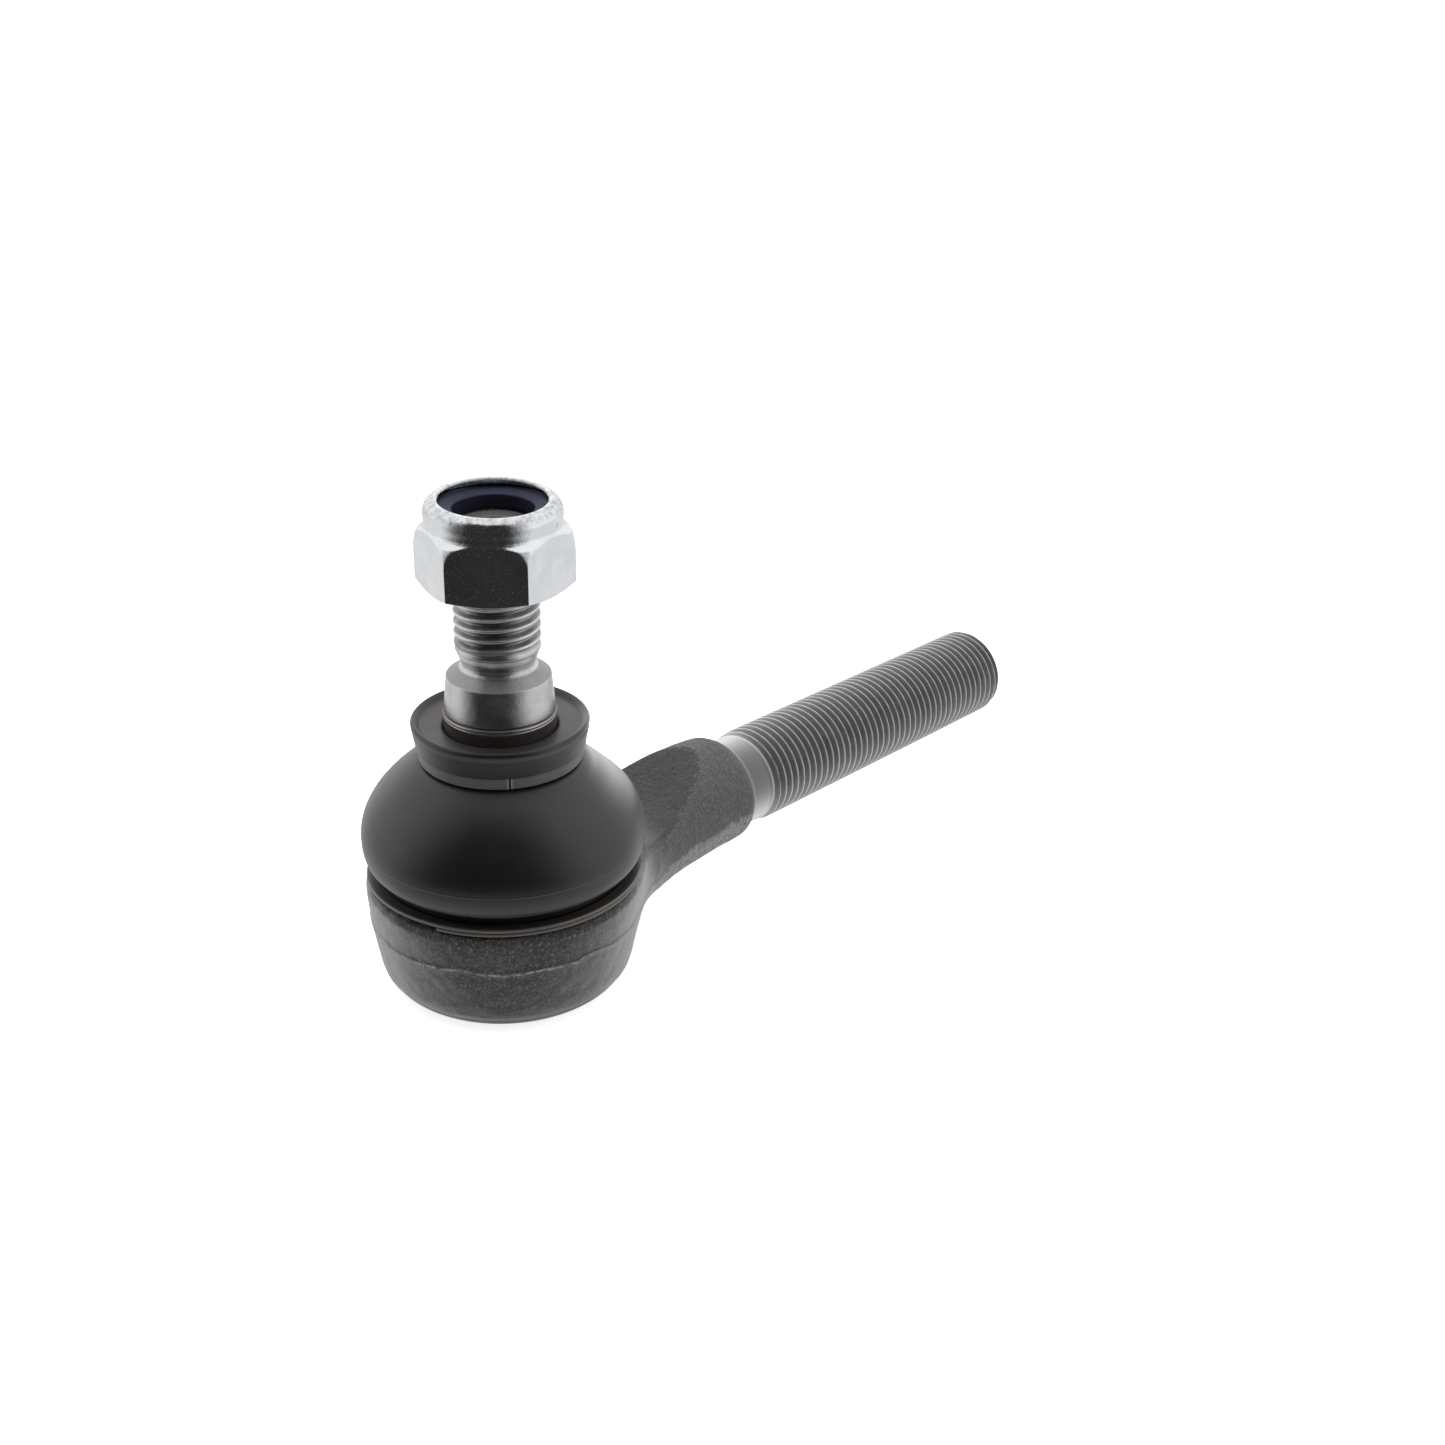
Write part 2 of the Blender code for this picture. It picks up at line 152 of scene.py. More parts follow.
def quads(rows, columns, close_rows=False, close_columns=True):
    """Faces of a grid of points, joined end to end where asked."""
    row = np.arange(rows if close_rows else rows - 1)
    column = np.arange(columns if close_columns else columns - 1)
    row, column = np.meshgrid(row, column, indexing="ij")
    below, beside = (row + 1) % rows, (column + 1) % columns
    corners = (row * columns + column, below * columns + column)
    corners += (below * columns + beside, row * columns + beside)
    return np.stack(corners, -1).reshape(-1, 4)


def turned(path, angles, closed=False):
    """Points of a path carried round Z, and the faces between them."""
    path = np.array(path)
    radius = np.repeat(path[:, :1], len(angles), 1)
    height = np.repeat(path[:, 1:], len(angles), 1)
    return around(radius, height, angles), quads(len(path), len(angles), closed)


def around(radius, height, angles):
    points = (radius * np.cos(angles), radius * np.sin(angles), height)
    return np.stack(points, -1).reshape(-1, 3)


def full_turn(steps):
    return np.arange(steps) * 2 * math.pi / steps


def show(obj):
    bpy.context.scene.collection.objects.link(obj)


def build(name, points, faces, body, node, material, crisp=35, masks=None):
    """A finished piece: welded, facing out, and put in place of its CAD node; it rides on its CAD body when
    that is given by name, and otherwise stays fixed where it is.
    """
    mesh = bpy.data.meshes.new(name)
    mesh.from_pydata((points * MM + BALL).tolist(), [], faces.tolist())
    store(mesh, "rest_mm", points, "FLOAT_VECTOR")
    for mask, values in (masks or {}).items():
        store(mesh, mask, values, "FLOAT")
    shape = bmesh.new()
    shape.from_mesh(mesh)
    bmesh.ops.remove_doubles(shape, verts=shape.verts, dist=0.0005 * MM)
    bmesh.ops.recalc_face_normals(shape, faces=shape.faces)
    shape.to_mesh(mesh)
    shape.free()
    mesh.shade_smooth()
    mesh.set_sharp_from_angle(angle=math.radians(crisp))
    mesh.materials.append(material)
    obj = bpy.data.objects.new(name, mesh)
    show(obj)
    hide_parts(node)
    if isinstance(body, str):
        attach(obj, body)
    else:
        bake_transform(obj)
    return obj


def store(mesh, name, values, kind):
    attribute = mesh.attributes.new(name, kind, "POINT")
    field = "vector" if kind == "FLOAT_VECTOR" else "value"
    attribute.data.foreach_set(field, np.asarray(values, np.float32).ravel())


def even_normals(obj):
    """Flat faces keep their own normals next to small rounded edges."""
    modifier = obj.modifiers.new("Normals", "WEIGHTED_NORMAL")
    modifier.keep_sharp = True


def roughened(points, size, seed):
    """Smooth noise at the points, between about -1 and 1, with features of this size."""
    shift = Vector((seed * 17.3, seed * 5.1, seed * 9.7))
    return np.array([noise.noise(Vector(point) / size + shift) for point in points])


# ---------------------------------------------------------------- threads

THREAD_DEPTH = 0.86


def below_crest(phase):
    """Depth of a rolled 60 degree thread, from 0 at its crest to 1 at its root."""
    away = np.abs((phase + 0.5) % 1.0 - 0.5) * 2
    flank = np.clip((away - 0.14) / 0.66, 0, 1)
    return 0.55 * flank + 0.45 * flank**2 * (3 - 2 * flank)


def smooth_step(value, low, high):
    t = np.clip((value - low) / (high - low), 0, 1)
    return t * t * (3 - 2 * t)


def threaded(height, angles, crest, grown, phase, blank):
    """Radii of a right-hand thread. grown runs from 0, a plain blank, to 1, the full thread."""
    turn = (height[:, None] - phase) / PITCH - angles[None, :] / (2 * math.pi)
    depth = below_crest(turn)
    full = crest - THREAD_DEPTH * depth
    radius = blank + (full - blank) * grown[:, None]
    return radius, (1 - depth) * grown[:, None]


# ---------------------------------------------------------------- forging

SHOULDER = LOWER_RING_LOW[2] - 0.3
SEAT_RADIUS = 15.8
BORE_RADIUS = 12.6
FLASH_HEIGHT = -2.2
CRIMP_HEIGHT = CUP_BOTTOM + 1.75
DISH_FLOOR = 27.0
DISH_SLOPE = 0.53
ARM_END = 44.7
NECK_RADIUS = 7.3
NECK_JOIN = 46.4
THREAD_START = 49.5


def cup_path():
    """The cup from its boot seat down its side to the crimped edge, closed along the axis."""
    top = 8.8
    wide, bottom = CUP_RADIUS, CUP_BOTTOM
    corners = [(0, top), (14.6, top), (SEAT_RADIUS, 7.8), (SEAT_RADIUS, SHOULDER), (19.4, SHOULDER)]
    side = bezier((wide - 0.05, 2.7), (wide - 0.15, -1.6), (wide - 1.0, -5.5), (wide - 1.45, -8.2), 12)
    edge = bezier(side[-1], (wide - 1.85, -10.4), (wide - 2.6, -11.9), (16.3, bottom + 0.15), 14)
    crimp = bezier((16.3, bottom + 0.15), (15.6, bottom), (14.6, bottom), (13.6, bottom + 0.25), 6)
    return corners + side + edge[1:] + crimp[1:] + [(0, bottom + 0.25)]


def bore_path():
    step, seat, lip = PLATE_HIGH[2] + 0.85, PLATE_HIGH[0] + 0.3, PLATE_LOW[2] - 0.1
    ceiling, mouth = 5.3, 9.1
    above, below = 12.0, -15.0
    mouth_top = (mouth + (above - ceiling) * 0.4, above)
    corners = [(0, above), mouth_top, (mouth, ceiling), (BORE_RADIUS, ceiling), (BORE_RADIUS, step)]
    return corners + [(seat, step), (seat, lip), (13.1, lip), (13.1, below), (0, below)]


def outline_field(path):
    """Signed distance to a closed outline on a fine grid, as a function of radius and height."""
    fine = 0.1
    radius = np.arange(0, 54, fine)
    height = np.arange(-18, 18, fine)
    r, z = np.meshgrid(radius, height, indexing="ij")
    nearest = np.full(r.shape, 1e9)
    inside = np.zeros(r.shape, bool)
    for (ar, az), (br, bz) in zip(path, path[1:] + path[:1]):
        if max(ar, br) > 0:
            along = ((r - ar) * (br - ar) + (z - az) * (bz - az)) / ((br - ar) ** 2 + (bz - az) ** 2)
            along = np.clip(along, 0, 1)
            gap = np.hypot(r - ar - along * (br - ar), z - az - along * (bz - az))
            nearest = np.minimum(nearest, gap)
        if az != bz:
            crosses = (az > z) != (bz > z)
            inside ^= crosses & (r < ar + (z - az) * (br - ar) / (bz - az))
    table = np.where(inside, -nearest, nearest)

    def field(at_radius, at_height):
        u = np.clip(at_radius / fine, 0, len(radius) - 1.001)
        v = np.clip((at_height - height[0]) / fine, 0, len(height) - 1.001)
        i, j = u.astype(int), v.astype(int)
        u, v = u - i, v - j
        low = table[i, j] * (1 - v) + table[i, j + 1] * v
        high = table[i + 1, j] * (1 - v) + table[i + 1, j + 1] * v
        return low * (1 - u) + high * u

    return field


def smooth_min(a, b, blend):
    near = np.maximum(blend - np.abs(a - b), 0) / blend
    return np.minimum(a, b) - near * near * blend / 4


def smooth_max(a, b, blend):
    return -smooth_min(-a, -b, blend)


def arm_field(x, y, z):
    """The forged arm: ovals that grow from the cup's wall into a round block at the shank."""
    stations = (12.0, 20.0, 24.0, 28.0, 32.0, 36.0, 40.0, 43.0, 47.0)
    width = np.interp(x, stations, (12.3, 11.7, 10.7, 9.8, 9.4, 9.2, 9.1, 8.95, 8.9))
    over = np.interp(x, stations, (5.6, 7.0, 8.5, 9.2, 9.5, 9.6, 9.6, 9.3, 9.1))
    under = np.interp(x, stations, (8.9, 9.5, 9.3, 8.9, 8.4, 8.0, 7.6, 7.6, 7.7))
    tall = np.where(z > 0, over, under)
    reach = np.sqrt((y / width) ** 2 + (z / tall) ** 2) + 1e-6
    slope = np.sqrt((y / width**2) ** 2 + (z / tall**2) ** 2) + 1e-6
    side = reach * (reach - 1) / slope
    return smooth_max(smooth_max(side, x - ARM_END - 0.4, 2.6), 8.0 - x, 0.5)


def above_dish(radius, z):
    """Height over the dish that the boot sits in: a flat floor that turns up into a cone."""
    beyond = radius - DISH_FLOOR
    floor = SHOULDER + (np.sqrt(beyond**2 + 4) + beyond) / 2 * DISH_SLOPE
    return (z - floor) / math.hypot(1, DISH_SLOPE)


def forging_field(cup, bore):
    def field(points):
        x, y, z = points.T
        radius = np.hypot(x, y)
        solid = smooth_min(cup(radius, z), arm_field(x, y, z), 4.8)
        neck = np.maximum(np.hypot(y, z) - NECK_RADIUS, np.maximum(x - NECK_JOIN, 30.0 - x))
        solid = smooth_min(solid, neck, 2.4)
        dish = np.minimum(above_dish(radius, z), radius - SEAT_RADIUS)
        solid = smooth_max(solid, dish, 0.25)
        return smooth_max(solid, -bore(radius, z), 0.4)

    return field


def surface_net(field, low, high, step):
    """One point in each grid cell that the surface crosses, and a face across each crossed edge."""
    axes = [np.arange(a, b, step) for a, b in zip(low, high)]
    shape = tuple(len(axis) for axis in axes)
    values = np.empty(shape)
    y, z = (grid.ravel() for grid in np.meshgrid(axes[1], axes[2], indexing="ij"))
    for i, x in enumerate(axes[0]):
        layer = np.stack((np.full(y.shape, x), y, z), -1)
        values[i] = field(layer).reshape(shape[1:])
    sums = np.zeros((values.size, 3))
    counts = np.zeros(values.size)
    strides = np.array((shape[1] * shape[2], shape[2], 1))
    faces = []
    for axis in range(3):
        near = [slice(None)] * 3
        far = [slice(None)] * 3
        near[axis], far[axis] = slice(0, -1), slice(1, None)
        a, b = values[tuple(near)], values[tuple(far)]
        cells = np.argwhere((a < 0) != (b < 0))
        cells = cells[((cells > 0) | (np.arange(3) == axis)).all(1)]
        first, second = a[tuple(cells.T)], b[tuple(cells.T)]
        points = cells.astype(float)
        points[:, axis] += first / (first - second)
        flat = cells @ strides
        one, two = strides[(axis + 1) % 3], strides[(axis + 2) % 3]
        ring = np.stack((flat, flat - one, flat - one - two, flat - two), -1)
        for column in range(4):
            np.add.at(sums, ring[:, column], points)
            np.add.at(counts, ring[:, column], 1)
        faces.append(np.where((first < 0)[:, None], ring, ring[:, ::-1]))
    faces = np.concatenate(faces)
    used, faces = np.unique(faces, return_inverse=True)
    points = sums[used] / counts[used][:, None] * step + np.array([axis[0] for axis in axes])
    return points, faces.reshape(-1, 4)


def gradient(field, points, size=0.02):
    base = field(points)
    slopes = [(field(points + size * np.eye(3)[axis]) - base) / size for axis in range(3)]
    return base, np.stack(slopes, -1)


def settled(field, points, faces, rounds):
    """The net's points, evened out along the surface and moved onto it."""
    edges = np.concatenate([faces[:, [i, (i + 1) % 4]] for i in range(4)])
    for _ in range(rounds):
        total = np.zeros_like(points)
        count = np.zeros(len(points))
        np.add.at(total, edges[:, 0], points[edges[:, 1]])
        np.add.at(count, edges[:, 0], 1)
        points = points + 0.5 * (total / count[:, None] - points)
        value, slope = gradient(field, points)
        points = points - slope * (value / np.maximum((slope**2).sum(1), 0.05))[:, None]
    return points


def flash_line(points):
    """Height of the forging dies' parting line where it passes each point."""
    angle = np.arctan2(points[:, 1], points[:, 0])
    ring = np.stack((np.cos(angle), np.sin(angle), np.zeros(len(angle))), -1) * CUP_RADIUS
    wave = 0.55 * roughened(ring, 7.0, 1) + 0.3 * roughened(ring, 1.8, 2)
    on_arm = smooth_step(points[:, 0], 14.0, 30.0)
    arm_height = -1.1 + 0.6 * smooth_step(points[:, 0], 30.0, 44.0)
    return (FLASH_HEIGHT + wave) * (1 - on_arm) + (arm_height + 0.5 * wave) * on_arm


def make_forging(material):
    field = forging_field(outline_field(cup_path()), outline_field(bore_path()))
    low = (-CUP_RADIUS - 1.5, -CUP_RADIUS - 1.5, CUP_BOTTOM - 1.2)
    high = (NECK_JOIN + 1.2, CUP_RADIUS + 1.5, HOUSING_HIGH[2] + 1.5)
    points, faces = surface_net(field, low, high, VOXEL)
    points = settled(field, points, faces, 4)
    _, slope = gradient(field, points)
    outward = slope / np.linalg.norm(slope, axis=1)[:, None]
    masks = forging_masks(points)
    ridge = np.exp(-((masks["from_flash"] / 0.3) ** 2)) * (1 - masks["on_arm"])
    step = smooth_step(-masks["from_flash"], -0.4, 0.4)
    uneven = 0.10 * roughened(points, 6.0, 3) + 0.05 * roughened(points, 1.5, 4)
    push = (0.12 * ridge + 0.12 * step + uneven) * masks["skin"]
    points = points + outward * push[:, None]
    return build("forging", points, faces, "housing", "housing", material, 60, masks)


def forging_masks(points):
    """What the material needs to know at each point of the forging."""
    x, y, z = points.T
    radius = np.hypot(x, y)
    crimp = smooth_step(z, CRIMP_HEIGHT + 0.5, CRIMP_HEIGHT - 0.1) * (radius > 13.0)
    over_dish = above_dish(radius, z)
    dish = smooth_step(-np.abs(over_dish), -0.35, -0.1) * smooth_step(radius, 22.0, 26.0)
    edge = np.abs(arm_field(x, y, z)) + np.abs(over_dish)
    outside = (radius > 16.5) & (x < ARM_END - 0.5)
    return {
        "from_flash": z - flash_line(points),
        "on_arm": smooth_step(x, 14.0, 26.0),
        "skin": outside * (1 - crimp) * (1 - dish),
        "crimp": crimp,
        "dish": dish,
        "crease": np.exp(-((edge / 0.3) ** 2)) * (radius > DISH_FLOOR + 1.0),
        "machined": smooth_step(x, ARM_END - 0.2, ARM_END + 0.9),
    }


# ---------------------------------------------------------------- shank


def make_shank(material):
    crest = 7.75
    angles = full_turn(88)
    fine = PITCH / 14
    height = np.arange(NECK_JOIN - 1.5, SHANK_END, fine)
    grown = smooth_step(height, THREAD_START, THREAD_START + 3.1)
    radius, ridge = threaded(height, angles, crest, grown, SHANK_END - 1.7, crest - 0.5)
    neck = height[:, None] < THREAD_START
    radius = np.where(neck, NECK_RADIUS + 0 * radius, radius)
    to_end = np.clip((SHANK_END - height[:, None]) / 1.9, 0, 1)
    rounding = 6.1 + 1.75 * np.sqrt(1 - (1 - to_end) ** 2)
    radius = np.where(to_end < 1, np.minimum(radius, rounding), radius)
    radius[0] *= 0.9
    cap = np.array([(6.1, SHANK_END), (3.0, SHANK_END), (1.6, SHANK_END)])
    cap = np.concatenate((cap, [(1.1, SHANK_END - 0.7), (0, SHANK_END - 1.3)]))
    radius = np.concatenate((radius, np.repeat(cap[:, :1], len(angles), 1)))
    ridge = np.concatenate((ridge, np.zeros((len(cap), len(angles)))))
    height = np.concatenate((height, cap[:, 1]))
    height = np.repeat(height[:, None], len(angles), 1)
    points = around(radius, height, angles)
    points = np.stack((points[:, 2], points[:, 1], -points[:, 0]), -1)
    faces = quads(len(height), len(angles))
    masks = {"crest": ridge.ravel()}
    return build("shank_thread", points, faces, "housing", "housing", material, 50, masks)


# ---------------------------------------------------------------- stud

SEAL_RADIUS = 7.9
SEAL_TOP = 28.45
GROOVE_HEIGHT = 29.2
CONE_TOP = 34.4
CHAMFER_TOP = 35.6
STUD_THREAD_START = 38.6

def stud_path():
    """From the ball's flat up to the undercut below the thread."""
    seal, neck = SEAL_RADIUS, 5.9
    ball = arc(BALL_RADIUS, STUD_LOW[2], math.sqrt(BALL_RADIUS**2 - neck**2), 40)
    neck_curve = bezier((neck, 12.5), (neck, 16.0), (seal, 17.0), (seal, 20.5), 14)
    above = [
        (seal, 20.5),
        (seal, SEAL_TOP, 0.05),
        (7.8, 28.58, 0.06),
        (7.93, 28.72, 0.06),
        (7.92, 29.02, 0.08),
        (7.66, GROOVE_HEIGHT, 0.07),
        (7.79, 29.42, 0.08),
        (7.31, CONE_TOP, 0.08),
        (5.6, CHAMFER_TOP, 0.25),
        (5.05, 35.95, 0.2),
        (5.05, 36.5, 0.3),
        (5.5, 37.3, 0.5),
        (5.8, 38.3, 0.2),
        (5.92, 38.5),
    ]
    flat, low = ball[0]
    foot = rounded([(0, low), (flat - 0.2, low, 0.15), (flat, low + 0.15)])
    return divided(foot + ball + neck_curve[:-1] + rounded(above), 0.8)


def make_stud(material):
    crest, start = 6.0, STUD_THREAD_START
    angles = full_turn(112)
    lower = np.array(stud_path())
    height = np.arange(start, STUD_TIP - 0.01, PITCH / (16))
    grown = smooth_step(height, start, start + 1.6)
    radius, ridge = threaded(height, angles, crest, grown, STUD_TIP - 1.0, crest - 0.08)
    radius = np.minimum(radius, 4.85 + (STUD_TIP - height[:, None]) * 1.0)
    tip = [(4.8, STUD_TIP), (2.4, STUD_TIP, 0.15), (1.6, STUD_TIP - 0.9, 0.2), (0, STUD_TIP - 1.7)]
    tip = np.array(rounded(tip))
    ends = [np.repeat(part[:, :1], len(angles), 1) for part in (lower, tip)]
    radius = np.concatenate((ends[0], radius, ends[1]))
    ridge = np.concatenate((ends[0] * 0, ridge, ends[1] * 0))
    height = np.concatenate((lower[:, 1], height, tip[:, 1]))
    points = around(radius, np.repeat(height[:, None], len(angles), 1), angles)
    faces = quads(len(height), len(angles))
    masks = {"crest": ridge.ravel()}
    return build("stud", points, faces, "stud", "ball_stud", material, 50, masks)


# ---------------------------------------------------------------- nut and insert

ACROSS_FLATS = 19.0
HEXAGON_HEIGHT = 8.85
FACET_MIDDLE = corner_angle("lock_nut") + math.radians(30)
SHOULDER_DROPS = (0.0, 0.25, 0.5, 0.8, 1.4, 2.4, 3.4, 5.0)
SHOULDER_RADII = (9.36, 9.55, 9.85, 10.27, 10.58, 10.82, 10.99, 11.2)
LOW_SIDE = math.radians(240)


def facet_angles(count):
    """Angles round the nut, crowded towards its corners."""
    share = np.arange(count) / count * 2 - 1
    one_facet = np.sin(share * math.pi / 2) * math.pi / 6
    return np.concatenate([one_facet + k * math.pi / 3 for k in range(6)])


def hexagon(angles):
    from_middle = (angles + math.pi / 6) % (math.pi / 3) - math.pi / 6
    flat = ACROSS_FLATS / 2 / np.cos(from_middle)
    return smooth_min(flat, 0 * flat + ACROSS_FLATS / math.sqrt(3) - 0.03, 0.12)


def nut_sides(bottom, top):
    """Heights up the sides of the nut, and the radius of the turned blank at each."""
    rows = 44
    lower = np.linspace(bottom + 0.02, bottom + 1.0, rows // 2)
    middle = np.linspace(bottom + 1.2, top - 4.0, rows // 3)
    shoulder = np.linspace(top - 3.8, top, rows)
    heights = np.concatenate((lower, middle, shoulder))
    drops = [top - heights + nudge for nudge in (-0.12, 0, 0.12)]
    over = sum(np.interp(drop, SHOULDER_DROPS, SHOULDER_RADII) for drop in drops) / 3
    under = 9.0 + (heights - bottom) / 0.43
    return heights, smooth_min(over, under, 0.1)


def nut_collar(shoulder, top):
    """From the shoulder up over the bulge and the rolled lip, then down into the insert's pocket."""
    waist = ((9.36, 0.03), (9.27, 0.2), (9.26, 0.5), (9.33, 0.9))
    waist = bezier(*((radius, shoulder + rise) for radius, rise in waist), 7)
    roll = bezier(waist[-1], (9.52, shoulder + 1.9), (9.3, top - 0.75), (8.1, top - 0.32), 16)
    lip = [roll[-1], (7.55, top - 0.24, 0.2), (7.38, top - 0.5, 0.08), (7.36, top - 0.62, 0.05)]
    pocket = [(8.2, top - 0.7), (8.2, shoulder - 0.6)]
    return waist + roll[1:] + divided(rounded(lip + pocket), 0.7)[1:]


def make_nut(material):
    """A hexagon inside a turned blank, under a rolled-in collar that is a little lower on one side."""
    angles = facet_angles(26)
    bottom, top = NUT_LOW[2], NUT_HIGH[2]
    shoulder = bottom + HEXAGON_HEIGHT
    inside = [(5.6, shoulder - 0.6), (5.6, bottom + 0.7), (6.6, bottom, 0.2), (9.0, bottom, 0.1)]
    inside = divided(rounded(inside), 0.6)
    heights, blank = nut_sides(bottom, shoulder)
    hexed = np.repeat(hexagon(angles)[None, :], len(heights), 0)
    body = smooth_min(hexed, blank[:, None], 0.14)
    collar = nut_collar(shoulder, top)
    radius = np.concatenate([spread(inside, angles), body, spread(collar, angles)])
    height = np.concatenate((np.array(inside)[:, 1], heights, np.array(collar)[:, 1]))
    lean = 0.35 * smooth_step(height, shoulder, top - 0.5)[:, None]
    lean = lean * np.cos(angles + FACET_MIDDLE - LOW_SIDE)
    points = around(radius, height[:, None] - lean, angles + FACET_MIDDLE)
    faces = quads(len(height), len(angles), close_rows=True)
    masks = {"lip": 1 - smooth_step(radius.ravel(), 7.7, 8.2)}
    nut = build("nut_body", points, faces, "nut", "lock_nut", material, 60, masks)
    even_normals(nut)
    return nut


def spread(path, angles):
    return np.repeat(np.array(path)[:, :1], len(angles), 1)


def make_insert(material):
    """Its top sinks from the lip down to the bore."""
    inner, outer = 5.5, INSERT_HIGH[0]
    top, bottom = INSERT_HIGH[2], INSERT_LOW[2]
    corners = [(inner, top - 0.75, 0.2), (6.9, top - 0.3, 0.4), (outer, top - 0.2, 0.2)]
    corners += [(outer, bottom, 0.2), (inner, bottom, 0.2)]
    path = divided(rounded(corners, True), 0.5, True)
    points, faces = turned(path, full_turn(80), True)
    return build("locking_ring", points, faces, "insert", "nylon_insert", material)


# ---------------------------------------------------------------- boot and rings

BELLY_HEIGHT = 10.3
LIP_BORE = SEAL_RADIUS + 0.13
HOLLOW_SIDE = math.radians(348)
HOLLOW_DEPTH = 0.55


def boot_paths():
    """The boot's section in two halves that meet at the seam height, outside and inside."""
    wide = BOOT_RADIUS
    rim_top = BOOT_HIGH[2]
    lip = [
        (LIP_BORE, rim_top - 1.3, 0.1),
        (8.3, rim_top - 1.05, 0.25),
        (11.2, rim_top - 0.95, 0.25),
        (11.75, rim_top - 0.25, 0.2),
        (12.15, rim_top, 0.18),
        (12.52, rim_top - 0.35, 0.2),
        (12.3, rim_top - 2.0, 1.0),
        (12.0, rim_top - 3.3, 0.6),
        (11.95, UPPER_RING_HIGH[2] + 0.15, 0.2),
        (10.3, UPPER_RING_HIGH[2] + 0.15, 0.15),
        (10.3, UPPER_RING_LOW[2] - 0.15, 0.15),
        (11.6, UPPER_RING_LOW[2] - 0.2, 0.3),
    ]
    slope = bezier((12.0, 21.7), (14.95, 19.75), (wide + 0.05, 15.4), (wide, BELLY_HEIGHT), 60)
    belly = bezier((wide, BELLY_HEIGHT), (wide, 7.6), (19.6, 6.3), (17.95, 6.2), 30)
    bead_bottom = BOOT_LOW[2]
    bead = [(17.95, 6.1), (17.95, bead_bottom, 0.3), (16.2, bead_bottom, 0.3)]
    bead += [(16.2, 6.4, 0.4), (17.2, 6.9)]
    inner_belly = bezier((17.2, 6.9), (18.6, 7.4), (18.95, 8.6), (18.95, BELLY_HEIGHT), 20)
    inner_slope = bezier((18.95, BELLY_HEIGHT), (18.95, 14.0), (13.9, 18.6), (10.6, 20.7), 40)
    outside = rounded(lip) + slope
    upper_out = cut_at(outside, BOOT_SEAM)
    upper_in = cut_at([(LIP_BORE, 21.2)] + inner_slope[::-1], BOOT_SEAM)
    upper = upper_in[::-1] + [(LIP_BORE, 24.0)] + upper_out
    lower_out = cut_at((slope + belly[1:])[::-1], BOOT_SEAM)[::-1]
    lower_in = cut_at(inner_belly + inner_slope[1:], BOOT_SEAM)
    lower = lower_out + rounded(bead)[1:-1] + lower_in
    return divided(upper, 0.5), divided(lower, 0.5)


def cut_at(path, height):
    """The start of a path, up to the first place where it crosses a height."""
    for i, (a, b) in enumerate(zip(path, path[1:])):
        if (a[1] - height) * (b[1] - height) <= 0 and a[1] != b[1]:
            share = (height - a[1]) / (b[1] - a[1])
            return path[: i + 1] + [(a[0] + (b[0] - a[0]) * share, height)]
    return path


def drawn_in(points):
    """The slope under the collar is hollower on one side."""
    angle = np.arctan2(points[:, 1], points[:, 0]) - HOLLOW_SIDE
    share = smooth_step(np.cos(angle), 0.2, 1.0) * smooth_step(points[:, 2], BOOT_SEAM + 0.6, 18.5)
    share *= 1 - smooth_step(points[:, 2], 20.2, 21.6)
    radius = np.hypot(points[:, 0], points[:, 1])
    points[:, :2] *= (1 - HOLLOW_DEPTH * share / radius)[:, None]
    return points


def make_boot(material):
    steps = full_turn(144)
    upper, lower = boot_paths()
    points, faces = turned(upper, steps)
    points = drawn_in(points)
    bend = ("boot", "boot_collar", BOOT_SEAM, 21.5)
    build("boot_upper", points, faces, bend, "dust_boot", material)
    points, faces = turned(lower, steps)
    bend = ("housing", "boot", 6.4, BOOT_SEAM)
    build("boot_lower", points, faces, bend, "dust_boot", material)


def coil(path, angles, lift):
    """A closed section swept round Z over these angles, raised by lift at each, with both ends shut."""
    path = np.array(path)
    radius = np.repeat(path[:, :1], len(angles), 1)
    height = path[:, 1:] + np.asarray(lift)[None, :]
    points = around(radius, height, angles)
    faces = quads(len(path), len(angles), close_rows=True, close_columns=False)
    return points, faces


def with_ends(points, faces, rows, columns):
    """Shuts both ends of an open sweep with a fan round its middle."""
    ends = []
    for column in (0, columns - 1):
        ring = np.arange(rows) * columns + column
        points = np.concatenate((points, points[ring].mean(0)[None]))
        following = np.roll(ring, -1)
        middle = np.full(rows, len(points) - 1)
        ends.append(np.stack((ring, following, middle, middle), -1))
    return points, np.concatenate([faces] + ends)


def make_upper_ring(material):
    inner, outer = 10.55, UPPER_RING_HIGH[0]
    low, high = UPPER_RING_LOW[2], UPPER_RING_HIGH[2]
    corners = [(inner, high, 0.15), (outer, high, 0.25), (outer, low, 0.25), (inner, low, 0.15)]
    path = divided(rounded(corners, True), 0.4, True)
    half_gap, gap_angle = math.radians(0.7), math.radians(235)
    share = (1 - np.cos(np.linspace(0, math.pi, 170))) / 2
    angles = gap_angle + half_gap + share * (2 * math.pi - 2 * half_gap)
    points, faces = coil(path, angles, np.zeros(len(angles)))
    points, faces = with_ends(points, faces, len(path), len(angles))
    along = points @ (math.cos(gap_angle), math.sin(gap_angle), 0)
    across = points @ (-math.sin(gap_angle), math.cos(gap_angle), 0)
    masks = {"split": np.exp(-((across / 0.32) ** 2)) * (along > 0)}
    return build(
        "clamp_ring", points, faces, "boot_collar", "boot_upper_ring", material, masks=masks
    )


